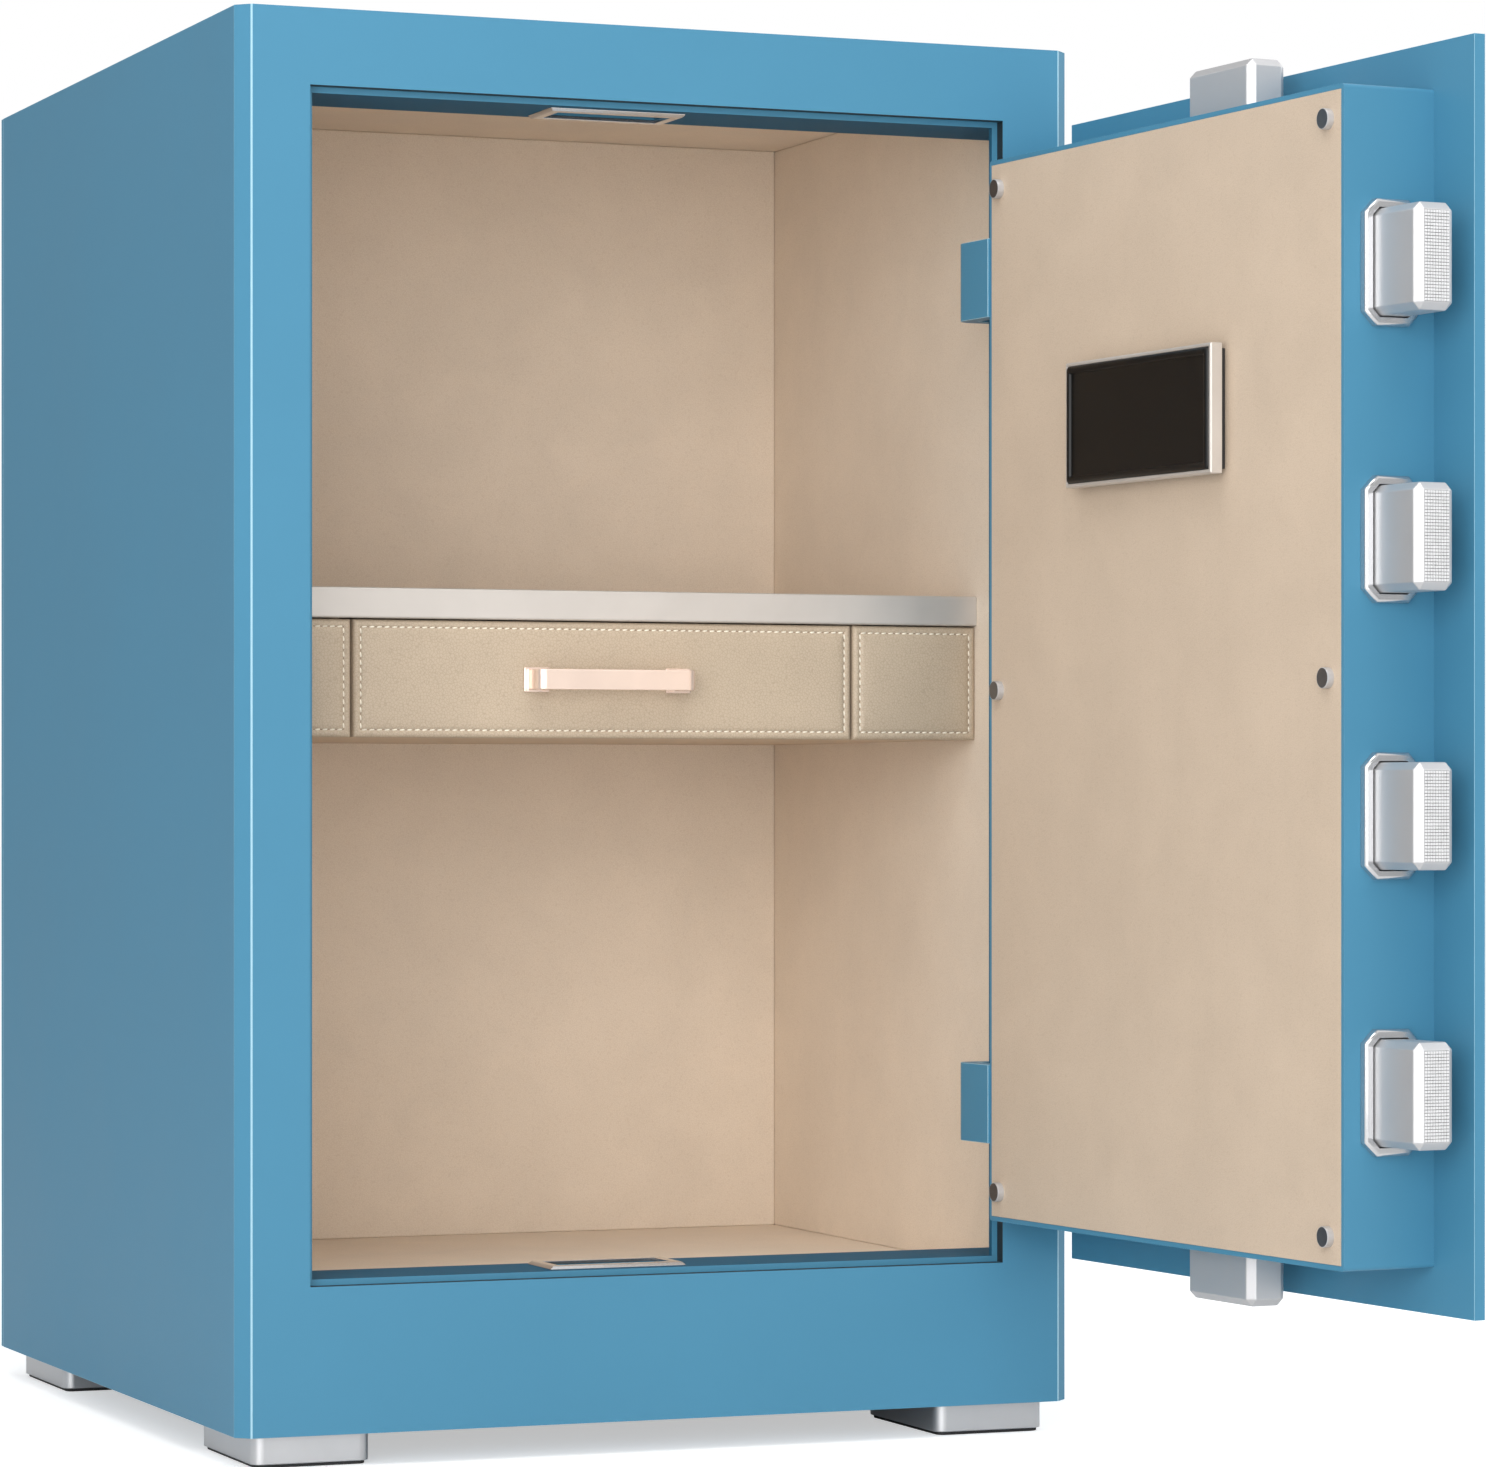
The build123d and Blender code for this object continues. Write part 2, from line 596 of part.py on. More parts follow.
def door_plate():
    """The outer plate, with holes for the spindle, the key lock and the keypad lead."""
    plate = block((PLATE_LEFT, PLATE_RIGHT), (FRONT, FRONT + PLATE_T), (PLATE_LOW, PLATE_HIGH))
    plate = chamfer(plate.edges().group_by(Axis.Y)[-1].filter_by(Axis.Z).sort_by(Axis.X)[-1], PLATE_EDGE_CUT)
    holes = (
        (DOOR_MID_Z, SPINDLE_R + SPINDLE_HOLE_PLAY),
        (KEY_Z, KEY_BODY_R),
        (KEY_COVER_Z, COVER_PIN_R),
        (KEYPAD_Z, LEAD_HOLE_R),
    )
    for z, r in holes:
        plate -= rod_y(SPINDLE_X, z, r, FRONT - CUT, FRONT + PLATE_T + CUT)
    return plate


def door_casing():
    """The folded tray behind the plate: four walls with a bolt slot each, and a flange for the lining."""
    tray = block((CASE_LEFT, CASE_RIGHT), (CASE_FRONT, CASE_BACK), (CASE_LOW, CASE_HIGH))
    tray = rounded(tray, Axis.Y, CASE_CORNER_R)
    inner_x = (CASE_LEFT + CASE_T, CASE_RIGHT - CASE_T)
    inner_z = (CASE_LOW + CASE_T, CASE_HIGH - CASE_T)
    tray -= block(inner_x, (CASE_FRONT - 1, CASE_BACK + 1), inner_z)
    flange_y = (LINING_REAR - CASE_T, LINING_REAR)
    flange = block(inner_x, flange_y, inner_z)
    flange -= block(grown(inner_x, -FLANGE_W), (FRONT, 0), grown(inner_z, -FLANGE_W))
    tray += flange
    slot_y = about(BOLT_Y, BOLT_T + 2 * BOLT_PLAY)
    for z in SIDE_BOLT_ZS:
        tray -= block((CASE_LEFT - 1, CASE_LEFT + CASE_T + 1), slot_y, about(z, SIDE_BOLT_H + 2 * BOLT_PLAY))
    end_x = about(SPINDLE_X, END_BOLT_W + 2 * BOLT_PLAY)
    tray -= block(end_x, slot_y, (CASE_HIGH - CASE_T - 1, CASE_HIGH + 1))
    tray -= block(end_x, slot_y, (CASE_LOW - 1, CASE_LOW + CASE_T + 1))
    for x, z in screw_spots():
        tray -= rod_y(x, z, SCREW_R, flange_y[0] - 1, flange_y[1] + 1)
    return tray


def screw_spots():
    """Where the six lining screws are: two columns of three."""
    return [(x, z) for x in SCREW_XS for z in SCREW_ZS]


def door_lining():
    """The beige panel on the back of the door, cut out for the battery tray and its screws."""
    panel_x = grown((CASE_LEFT, CASE_RIGHT), -CASE_T - LINING_PLAY)
    panel_z = grown((CASE_LOW, CASE_HIGH), -CASE_T - LINING_PLAY)
    panel = block(panel_x, (LINING_REAR, LINING_FACE), panel_z)
    panel -= block(TRAY_X, (FRONT, 0), TRAY_Z)
    for x, z in screw_spots():
        panel -= rod_y(x, z, SCREW_R, LINING_REAR - CUT, LINING_FACE + CUT)
    return panel


def lining_screws():
    """Six screws with flat round heads."""
    screws = []
    for x, z in screw_spots():
        head = rod_y(x, z, SCREW_HEAD_R, LINING_FACE, LINING_FACE + SCREW_HEAD_T)
        head = fillet(head.edges().group_by(Axis.Y)[-1], SCREW_EDGE_R)
        screws.append(head + rod_y(x, z, SCREW_R, SCREW_TIP, LINING_FACE))
    return screws


def escutcheons():
    """Chrome surrounds with cut corners, one round each side bolt."""
    frames = []
    for z in SIDE_BOLT_ZS:
        outer_y = about(BOLT_Y, BOLT_T + 2 * SURROUND_RIM)
        outer_z = about(z, SIDE_BOLT_H + 2 * SURROUND_RIM)
        frame = bevelled(block((CASE_LEFT - SURROUND_T, CASE_LEFT), outer_y, outer_z), Axis.X, SURROUND_CUT)
        frame = fillet(frame.faces().sort_by(Axis.X)[0].edges(), SURROUND_R)
        hole_y = about(BOLT_Y, BOLT_T + 2 * BOLT_PLAY)
        hole_z = about(z, SIDE_BOLT_H + 2 * BOLT_PLAY)
        hole = block((CASE_LEFT - SURROUND_T - CUT, CASE_LEFT + CUT), hole_y, hole_z)
        frames.append(frame - bevelled(hole, Axis.X, BOLT_BEVEL))
    return frames


def side_bolts():
    """Four square bolts with their long edges and their outer ends bevelled."""
    bolts = []
    tip = CASE_LEFT - SIDE_BOLT_SHOWS
    for z in SIDE_BOLT_ZS:
        bolt = block((tip, tip + SIDE_BOLT_LENGTH), about(BOLT_Y, BOLT_T), about(z, SIDE_BOLT_H))
        bolts.append(chamfer(bolt.edges().group_by(Axis.X)[0] + bolt.edges().filter_by(Axis.X), BOLT_BEVEL))
    return bolts


def bolt_carriage():
    """The upright that joins the side bolts, with the tab that the cam pin drives."""
    start = CASE_LEFT - SIDE_BOLT_SHOWS + SIDE_BOLT_LENGTH
    reach = 1.5 * SIDE_BOLT_PITCH + SIDE_BOLT_H / 2
    end = start + CARRIAGE_T
    bar = block((start, end), (CARRIAGE_FRONT, TAB_Y[1]), about(DOOR_MID_Z, 2 * reach))
    bar += block((end, TAB_RIGHT), TAB_Y, TAB_Z)
    pin_x = SPINDLE_X - CAM_RADIUS * math.sin(math.radians(CAM_REST_DEG))
    slot = CAM_PIN_R + PIN_PLAY
    bar -= block(about(pin_x, 2 * slot), (FRONT, 0), TAB_SLOT_Z)
    return bar - block(about(BLOCKER_X, BLOCKER_NOTCH_W), (FRONT, 0), BLOCKER_NOTCH_Z)


def end_bolt(up):
    """The top bolt, or turned over, the bottom bolt."""
    tip = CASE_HIGH + END_BOLT_SHOWS
    bolt = block(about(SPINDLE_X, END_BOLT_W), about(BOLT_Y, BOLT_T), (tip - END_BOLT_LENGTH, tip))
    bolt = chamfer(bolt.edges().group_by(Axis.Z)[-1] + bolt.edges().filter_by(Axis.Z), BOLT_BEVEL)
    return bolt if up else turned_over(bolt)


def end_bar(up):
    """The flat bar from an end bolt to its cam pin, with a cross slot at the pin."""
    top = CASE_HIGH + END_BOLT_SHOWS - END_BOLT_LENGTH
    bar_y = about(END_BAR_Y, BAR_T)
    bar = block(END_BAR_X, bar_y, (END_BAR_FOOT_Z[1], top))
    bar += block(END_BAR_FOOT_X, bar_y, END_BAR_FOOT_Z)
    pin_z = DOOR_MID_Z + CAM_RADIUS * math.sin(math.radians(CAM_REST_DEG))
    slot = CAM_PIN_R + PIN_PLAY
    bar -= block(END_BAR_SLOT_X, (FRONT, 0), about(pin_z, 2 * slot))
    return bar if up else turned_over(bar)


def turned_over(shape):
    """The shape turned half a turn about the spindle's line."""
    return Pos(SPINDLE_X, 0, DOOR_MID_Z) * Rot(0, 180, 0) * Pos(-SPINDLE_X, 0, -DOOR_MID_Z) * shape


def cam_plate():
    """A disc on the spindle with three drive pins: one back to the carriage, two forward to the bars."""
    disc = rod_y(SPINDLE_X, DOOR_MID_Z, CAM_DISC_R, CAM_FRONT, CAM_FRONT + CAM_T)
    disc -= rod_y(SPINDLE_X, DOOR_MID_Z, SPINDLE_R, FRONT, 0)
    for turn, y in ((0, -1), (180, -1), (90, 1)):
        angle = math.radians(CAM_REST_DEG + turn)
        x = SPINDLE_X + CAM_RADIUS * math.cos(angle)
        z = DOOR_MID_Z + CAM_RADIUS * math.sin(angle)
        forward = (PIN_REACH_FRONT, CAM_FRONT + CUT)
        rearward = (CAM_FRONT + CAM_T - CUT, TAB_Y[1])
        span = forward if y < 0 else rearward
        disc += rod_y(x, z, CAM_PIN_R, *span)
    return disc


def bolt_guides():
    """The slotted plate behind the side bolts, and a slotted plate for each end bolt."""
    guide_y = (CASE_FRONT, TAB_Y[1])
    slot_y = about(BOLT_Y, BOLT_T + 2 * BOLT_PLAY)
    upright = block(GUIDE_X, guide_y, about(DOOR_MID_Z, GUIDE_H))
    for z in SIDE_BOLT_ZS:
        upright -= block(grown(GUIDE_X, CUT), slot_y, about(z, SIDE_BOLT_H + 2 * BOLT_PLAY))
    end_x = about(SPINDLE_X, END_BOLT_W + 2 * BOLT_PLAY)
    top = block(about(SPINDLE_X, END_GUIDE_W), guide_y, END_GUIDE_Z)
    top -= block(end_x, slot_y, grown(END_GUIDE_Z, CUT))
    return upright, [top, turned_over(top)]


def lock_works():
    """The hard plate, the motor unit and the pin that blocks the carriage."""
    hard_y = (CASE_FRONT, CASE_FRONT + HARD_PLATE_T)
    hard = block(about(SPINDLE_X, HARD_PLATE_W), hard_y, about(DOOR_MID_Z, HARD_PLATE_H))
    hard -= rod_y(SPINDLE_X, DOOR_MID_Z, SPINDLE_R + RUN_PLAY, FRONT, 0)
    motor = rounded(block(about(BLOCKER_X, MOTOR_W), about(BLOCKER_Y, MOTOR_D), MOTOR_Z), Axis.Z, MOTOR_R)
    motor -= rod_z(BLOCKER_X, BLOCKER_Y, BLOCKER_R + RUN_PLAY, BLOCKER_Z[0] - CUT, BLOCKER_Z[1])
    pin = rod_z(BLOCKER_X, BLOCKER_Y, BLOCKER_R, *BLOCKER_Z)
    return hard, motor, pin


def battery_box():
    """The cover box on the lining: black base ring, champagne band, black cover, and the tray of cells."""
    face = LINING_FACE
    step = face + BOX_BASE_T
    base = block(grown(TRAY_X, BOX_BASE_RIM), (face, step), grown(TRAY_Z, BOX_BASE_RIM))
    base -= block(TRAY_X, grown((face, step), CUT), TRAY_Z)
    band = block(grown(TRAY_X, BOX_BAND_RIM), (step, step + BOX_BAND_T), grown(TRAY_Z, BOX_BAND_RIM))
    band = fillet(band.edges().group_by(Axis.Y)[-1], BOX_BAND_R)
    cover_x, cover_z = grown(TRAY_X, BOX_COVER_RIM), grown(TRAY_Z, BOX_COVER_RIM)
    band -= block(cover_x, grown((step, step + BOX_BAND_T), CUT), cover_z)
    cover = block(cover_x, (step, step + BOX_COVER_T), cover_z)
    cover = chamfer(cover.edges().group_by(Axis.Y)[-1], BOX_COVER_BEVEL)
    tray = block(TRAY_X, (TRAY_FRONT, face + TRAY_LIP), TRAY_Z)
    tray -= block(grown(TRAY_X, -TRAY_WALL), (TRAY_FRONT + TRAY_WALL, 0), grown(TRAY_Z, -TRAY_WALL))
    cells = []
    for side_x in (-1, 1):
        for side_z in (-1, 1):
            x = mid(TRAY_X) + side_x * CELL_SPACING_X / 2
            z = mid(TRAY_Z) + side_z * CELL_SPACING_Z / 2
            cell = Pos(x, CELL_Y, z) * Rot(0, 90, 0) * Cylinder(CELL_R, CELL_LENGTH)
            nub_x = x + (CELL_LENGTH + CELL_NUB_T) / 2
            nub = Pos(nub_x, CELL_Y, z) * Rot(0, 90, 0) * Cylinder(CELL_NUB_R, CELL_NUB_T)
            cells.append(cell + nub)
    return base, band, cover, tray, cells


def mid(span):
    """The middle of a span."""
    return (span[0] + span[1]) / 2


def grown(span, by):
    """A span made longer at both ends."""
    return (span[0] - by, span[1] + by)


def hinge_arms():
    """Two bent arms from the casing, round the front frame, to the barrel on the pin."""
    arms = []
    for z in HINGE_ZS:
        span = about(z, HINGE_H)
        leg = block((CASE_RIGHT, PIVOT_X + BARREL_R), ARM_Y, span)
        leg += block((PIVOT_X - ARM_PLAY, PIVOT_X + BARREL_R), (PIVOT_Y, ARM_Y[1]), span)
        outer = leg.edges().filter_by(Axis.Z).sort_by(Axis.X)[-2:].sort_by(Axis.Y)[-1]
        leg = fillet(outer, ARM_BEND_R)
        arm = leg + rod_z(PIVOT_X, PIVOT_Y, BARREL_R, *span)
        arms.append(arm - rod_z(PIVOT_X, PIVOT_Y, HINGE_PIN_R + RUN_PLAY, *grown(span, CUT)))
    return arms


# ---------------------------------------------------------------- outside of the door


def handle():
    """The bar handle with its neck, the spindle, and the fixed rose."""
    bar_y = (HANDLE_FRONT, HANDLE_FRONT + HANDLE_T)
    bar = block(about(SPINDLE_X, HANDLE_LENGTH), bar_y, about(DOOR_MID_Z, HANDLE_H))
    bar = fillet(bar.edges().filter_by(Axis.Y), HANDLE_END_R)
    bar = fillet(bar.edges().group_by(Axis.Y)[0], HANDLE_EDGE_R)
    bar += rod_y(SPINDLE_X, DOOR_MID_Z, NECK_R, bar_y[1] - CUT, NECK_BACK)
    bar -= rod_y(SPINDLE_X, DOOR_MID_Z, SPINDLE_R, SPINDLE_FRONT, 0)
    spindle = rod_y(SPINDLE_X, DOOR_MID_Z, SPINDLE_R, SPINDLE_FRONT, SPINDLE_BACK)
    rose = rod_y(SPINDLE_X, DOOR_MID_Z, ROSE_R, FRONT - ROSE_T, FRONT)
    rose = fillet(rose.edges().group_by(Axis.Y)[0], ROSE_EDGE_R)
    rose -= rod_y(SPINDLE_X, DOOR_MID_Z, SPINDLE_R + RUN_PLAY, FRONT - ROSE_T - CUT, 0)
    return bar, spindle, rose


def keypad():
    """The keypad's housing and its flat touch glass."""
    housing = block(about(SPINDLE_X, KEYPAD_W), (FRONT - KEYPAD_T, FRONT), about(KEYPAD_Z, KEYPAD_H))
    housing = fillet(housing.edges().filter_by(Axis.Y), KEYPAD_CORNER_R)
    housing = fillet(housing.edges().group_by(Axis.Y)[0], KEYPAD_EDGE_R)
    glass_front = FRONT - KEYPAD_T - GLASS_PROUD
    glass_x = about(SPINDLE_X, KEYPAD_W - 2 * GLASS_MARGIN)
    glass_z = about(KEYPAD_Z, KEYPAD_H - 2 * GLASS_MARGIN)
    glass = block(glass_x, (glass_front, glass_front + GLASS_T), glass_z)
    glass = fillet(glass.edges().filter_by(Axis.Y), GLASS_CORNER_R)
    return housing - glass, glass


def key_lock():
    """The lock body, the plug with its keyway, the keyhole cover and the cover's pivot pin."""
    collar_front = FRONT - KEY_COLLAR_T
    body = rod_y(SPINDLE_X, KEY_Z, KEY_COLLAR_R, collar_front, FRONT)
    body += rod_y(SPINDLE_X, KEY_Z, KEY_BODY_R, FRONT - CUT, KEY_BODY_BACK)
    body -= rod_y(SPINDLE_X, KEY_Z, PLUG_R + RUN_PLAY, collar_front - CUT, PLUG_BACK + CUT)
    plug = rod_y(SPINDLE_X, KEY_Z, PLUG_R, collar_front, PLUG_BACK)
    plug -= block(about(SPINDLE_X, KEYWAY_W), (collar_front - CUT, KEYWAY_BACK), about(KEY_Z, KEYWAY_H))
    cover = rod_y(SPINDLE_X, KEY_Z, COVER_R, *COVER_Y)
    cover += rod_y(SPINDLE_X, KEY_COVER_Z, COVER_LUG_R, *COVER_Y)
    cover += block(about(SPINDLE_X, COVER_NECK_W), COVER_Y, (KEY_Z, KEY_COVER_Z))
    cover -= rod_y(SPINDLE_X, KEY_COVER_Z, COVER_PIN_R + RUN_PLAY, COVER_PIN_FRONT, 0)
    cover = fillet(cover.edges().group_by(Axis.Y)[0].sort_by(Axis.Z)[:1], COVER_EDGE_R)
    pin = rod_y(SPINDLE_X, KEY_COVER_Z, COVER_PIN_R, COVER_PIN_FRONT, FRONT + PLATE_T)
    pin += rod_y(SPINDLE_X, KEY_COVER_Z, COVER_COLLAR_R, *PIN_HEAD_Y)
    pin += rod_y(SPINDLE_X, KEY_COVER_Z, COVER_COLLAR_R, PIN_COLLAR_FRONT, FRONT)
    return body, plug, cover, pin


os.makedirs("parts", exist_ok=True)

save("cabinet_shell", cabinet_shell())
save("back_plate", back_plate())
save("front_frame", front_frame())
save("door_frame", door_frame())
end_strikes, side_strikes = strike_plates()
save("strike_plates", *end_strikes, *side_strikes)
back_filler, floor_filler = fillers()
save("back_filler_board", back_filler)
save("floor_filler_board", floor_filler)
lining_boards = linings()
for place in ("back", "ceiling", "floor"):
    save(f"{place}_lining", lining_boards[place])
save("side_linings", lining_boards["left"], lining_boards["right"])
foot_shells, foot_pads, foot_screws = feet()
save("feet", *foot_shells)
save("foot_pads", *foot_pads)
save("foot_screws", *foot_screws)
hinge_lugs, hinge_pins = hinge_brackets()
save("hinge_brackets", *hinge_lugs)
save("hinge_pins", *hinge_pins)

shelf_board, shelf_rail, shelf_cleats = shelf()
save("shelf_board", shelf_board)
save("shelf_front_rail", shelf_rail)
save("shelf_cleats", *shelf_cleats)
left_fascia, right_fascia, bay_floor, bay_uprights = drawer_bay()
save("side_fascias", left_fascia, right_fascia)
save("drawer_bay_floor", bay_floor)
save("drawer_bay_uprights", *bay_uprights)
fixed_runners, moving_runners = drawer_runners()
save("drawer_runners_fixed", *fixed_runners)
save("drawer_runners_moving", *moving_runners)
drawer_front, drawer_sides, drawer_back, drawer_bottom = drawer_boards()
save("drawer_front", drawer_front)
save("drawer_walls", *drawer_sides, drawer_back)
save("drawer_bottom", drawer_bottom)
save("drawer_handle", drawer_handle())

save_door("door_plate", door_plate())
save_door("door_casing", door_casing())
save_door("door_lining", door_lining())
save_door("lining_screws", *lining_screws())
save_door("bolt_surrounds", *escutcheons())
save_door("side_bolts", *side_bolts())
save_door("bolt_carriage", bolt_carriage())
for end, is_top in (("top", True), ("bottom", False)):
    save_door(f"{end}_bolt", end_bolt(is_top))
    save_door(f"{end}_bolt_bar", end_bar(is_top))
save_door("cam_plate", cam_plate())
side_guide, end_guides = bolt_guides()
save_door("bolt_guides", side_guide, *end_guides)
hard_plate, lock_motor, blocking_pin = lock_works()
save_door("hard_plate", hard_plate)
save_door("lock_motor", lock_motor)
save_door("blocking_pin", blocking_pin)
box_base, box_band, box_cover, cell_tray, cells = battery_box()
save_door("battery_box_base", box_base)
save_door("battery_box_band", box_band)
save_door("battery_box_cover", box_cover)
save_door("battery_tray", cell_tray)
save_door("battery_cells", *cells)
save_door("hinge_arms", *hinge_arms())
handle_bar, spindle, handle_rose = handle()
save_door("handle_bar", handle_bar)
save_door("handle_spindle", spindle)
save_door("handle_rose", handle_rose)
keypad_housing, keypad_glass = keypad()
save_door("keypad_housing", keypad_housing)
save_door("keypad_glass", keypad_glass)
lock_body, key_plug, key_cover, cover_pin = key_lock()
save_door("key_lock_body", lock_body)
save_door("key_plug", key_plug)
save_door("keyhole_cover", key_cover)
save_door("keyhole_cover_pin", cover_pin)
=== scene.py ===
import json
import math

import bmesh
import bpy
from mathutils import Matrix, Vector


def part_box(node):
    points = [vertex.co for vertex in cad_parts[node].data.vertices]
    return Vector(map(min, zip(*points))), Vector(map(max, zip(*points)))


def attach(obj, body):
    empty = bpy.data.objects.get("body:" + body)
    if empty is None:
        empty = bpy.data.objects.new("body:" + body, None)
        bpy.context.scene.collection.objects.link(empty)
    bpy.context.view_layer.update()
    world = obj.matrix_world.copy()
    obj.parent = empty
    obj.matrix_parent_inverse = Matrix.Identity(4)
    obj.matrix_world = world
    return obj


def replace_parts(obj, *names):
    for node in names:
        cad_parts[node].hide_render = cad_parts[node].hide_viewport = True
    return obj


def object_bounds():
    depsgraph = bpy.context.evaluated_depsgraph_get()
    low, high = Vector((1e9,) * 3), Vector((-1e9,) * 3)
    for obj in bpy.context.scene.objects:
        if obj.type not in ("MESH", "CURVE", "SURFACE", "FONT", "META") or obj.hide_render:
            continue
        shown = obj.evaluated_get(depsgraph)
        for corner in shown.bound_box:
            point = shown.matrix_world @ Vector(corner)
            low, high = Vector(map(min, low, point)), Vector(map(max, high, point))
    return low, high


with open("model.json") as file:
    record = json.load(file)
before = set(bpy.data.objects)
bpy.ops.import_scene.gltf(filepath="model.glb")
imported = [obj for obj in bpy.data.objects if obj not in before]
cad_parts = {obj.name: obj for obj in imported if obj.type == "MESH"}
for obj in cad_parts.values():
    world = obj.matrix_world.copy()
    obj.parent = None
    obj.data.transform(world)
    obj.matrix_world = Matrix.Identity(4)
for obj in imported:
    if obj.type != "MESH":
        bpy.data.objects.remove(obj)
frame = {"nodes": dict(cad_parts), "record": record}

cad_box = [list(corner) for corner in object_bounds()]

# ---- Cabinet body --------------------------------------------------------------------------------
# A folded steel tube with a welded back plate and a thick welded plate round the door opening.
# All of it is powder coated in one satin blue, with a faint orange peel and rolled-over edges; the
# rolled edges are given a lighter blue, a painted highlight.

MM = 0.001
BLUE = (0.060, 0.224, 0.352, 1)
# The lighter blue below is a painted highlight for rounded edges and corner lines.
BLUE_EDGE_HIGHLIGHT = (0.34, 0.56, 0.67, 1)
# Near-black for the cut edge round the door opening: a painted shadow.
OPENING_EDGE_SHADOW = (0.012, 0.017, 0.02, 1)


def effect_group(name, inputs, outputs):
    """An empty node group for a surface effect, with its input and output nodes."""
    group = bpy.data.node_groups.new(name, "ShaderNodeTree")
    for label, kind, value in inputs:
        socket = group.interface.new_socket(label, in_out="INPUT", socket_type=kind)
        socket.default_value = value
    for label in outputs:
        group.interface.new_socket(label, in_out="OUTPUT", socket_type="NodeSocketFloat")
    return group, group.nodes.new("NodeGroupInput"), group.nodes.new("NodeGroupOutput")


def add_node(tree, kind, settings=(), inputs=()):
    """A node with its properties and its unlinked inputs set."""
    made = tree.nodes.new(kind)
    for label, value in dict(settings).items():
        setattr(made, label, value)
    for label, value in dict(inputs).items():
        made.inputs[label].default_value = value
    return made


def make_grain_group():
    """Fine relief that is stretched by its number of cells per metre along each axis."""
    group, source, result = effect_group(
        "surface_grain", [("Cells per metre", "NodeSocketVector", (700, 700, 700))], ["Height"]
    )
    place = add_node(group, "ShaderNodeTexCoord")
    scaled = add_node(group, "ShaderNodeVectorMath", {"operation": "MULTIPLY"})
    noise = add_node(group, "ShaderNodeTexNoise", inputs={"Scale": 1, "Detail": 2, "Roughness": 0.45})
    group.links.new(place.outputs["Object"], scaled.inputs[0])
    group.links.new(source.outputs["Cells per metre"], scaled.inputs[1])
    group.links.new(scaled.outputs["Vector"], noise.inputs["Vector"])
    group.links.new(noise.outputs["Fac"], result.inputs["Height"])
    return group


def make_handling_group():
    """Broad uneven patches where a surface has been wiped and touched."""
    group, source, result = effect_group(
        "handling_marks", [("Patches per metre", "NodeSocketFloat", 14.0)], ["Mask"]
    )
    place = add_node(group, "ShaderNodeTexCoord")
    noise = add_node(
        group, "ShaderNodeTexNoise", inputs={"Detail": 5, "Roughness": 0.6, "Distortion": 0.3}
    )
    spread = add_node(group, "ShaderNodeMapRange", inputs={"From Min": 0.32, "From Max": 0.68})
    group.links.new(place.outputs["Object"], noise.inputs["Vector"])
    group.links.new(source.outputs["Patches per metre"], noise.inputs["Scale"])
    group.links.new(noise.outputs["Fac"], spread.inputs["Value"])
    group.links.new(spread.outputs["Result"], result.inputs["Mask"])
    return group


surface_grain = make_grain_group()
handling_marks = make_handling_group()


def shaded(colour, share):
    """A colour made darker or lighter by a share, with its alpha kept."""
    return tuple(min(1, channel * share) for channel in colour[:3]) + (1,)


def new_finish(name, colour, roughness, cells, relief, tone, rough_spread, patches, **sockets):
    """A material with fine relief, uneven tone and uneven gloss. relief is in metres."""
    material = bpy.data.materials.new(name)
    material.use_nodes = True
    tree = material.node_tree
    shader = tree.nodes["Principled BSDF"]
    for label, value in sockets.items():
        shader.inputs[label.replace("_", " ")].default_value = value
    grain = add_node(tree, "ShaderNodeGroup", {"node_tree": surface_grain})
    grain.inputs["Cells per metre"].default_value = cells
    marks = add_node(tree, "ShaderNodeGroup", {"node_tree": handling_marks})
    marks.inputs["Patches per metre"].default_value = patches
    tint = add_node(tree, "ShaderNodeMix", {"data_type": "RGBA"})
    tint.inputs["A"].default_value = shaded(colour, 1 - tone)
    tint.inputs["B"].default_value = shaded(colour, 1 + tone)
    tint.name = "tint"
    gloss = add_node(
        tree,
        "ShaderNodeMapRange",
        inputs={"To Min": roughness - rough_spread, "To Max": roughness + rough_spread},
    )
    gloss.name = "gloss"
    bump = add_node(tree, "ShaderNodeBump", inputs={"Strength": 1, "Distance": relief})
    bump.name = "relief"
    tree.links.new(marks.outputs["Mask"], tint.inputs["Factor"])
    tree.links.new(marks.outputs["Mask"], gloss.inputs["Value"])
    tree.links.new(grain.outputs["Height"], bump.inputs["Height"])
    tree.links.new(tint.outputs["Result"], shader.inputs["Base Color"])
    tree.links.new(gloss.outputs["Result"], shader.inputs["Roughness"])
    tree.links.new(bump.outputs["Normal"], shader.inputs["Normal"])
    return material


def finish_node(node, *materials):
    """Give a CAD node its materials."""
    slots = frame["nodes"][node].data.materials
    slots.clear()
    for material in materials:
        slots.append(material)


def finish_faces(node, slot, chosen):
    """Give one material slot to the faces of a CAD node that pass a test."""
    for face in frame["nodes"][node].data.polygons:
        if chosen(face):
            face.material_index = slot


def soften(node, radius, highlight_slot=0, limit=30):
    """Round every sharp edge of a CAD node by a small radius, as bending, casting and coating do. The
    rounded faces take the given material slot; for the blue parts that slot holds a painted
    highlight.
    """
    piece = frame["nodes"][node]
    weld = piece.modifiers.new("joined", "WELD")
    weld.merge_threshold = 0.01 * MM
    flat = piece.modifiers.new("flat faces", "DECIMATE")
    flat.decimate_type = "DISSOLVE"
    flat.angle_limit = math.radians(1)
    flat.delimit = {"MATERIAL"}
    bevel = piece.modifiers.new("edges", "BEVEL")
    bevel.width = radius
    bevel.segments = 2
    bevel.limit_method = "ANGLE"
    bevel.angle_limit = math.radians(limit)
    bevel.material = highlight_slot
    bevel.use_clamp_overlap = True
    shading = piece.modifiers.new("flat shading", "WEIGHTED_NORMAL")
    shading.weight = 100
    shading.keep_sharp = True


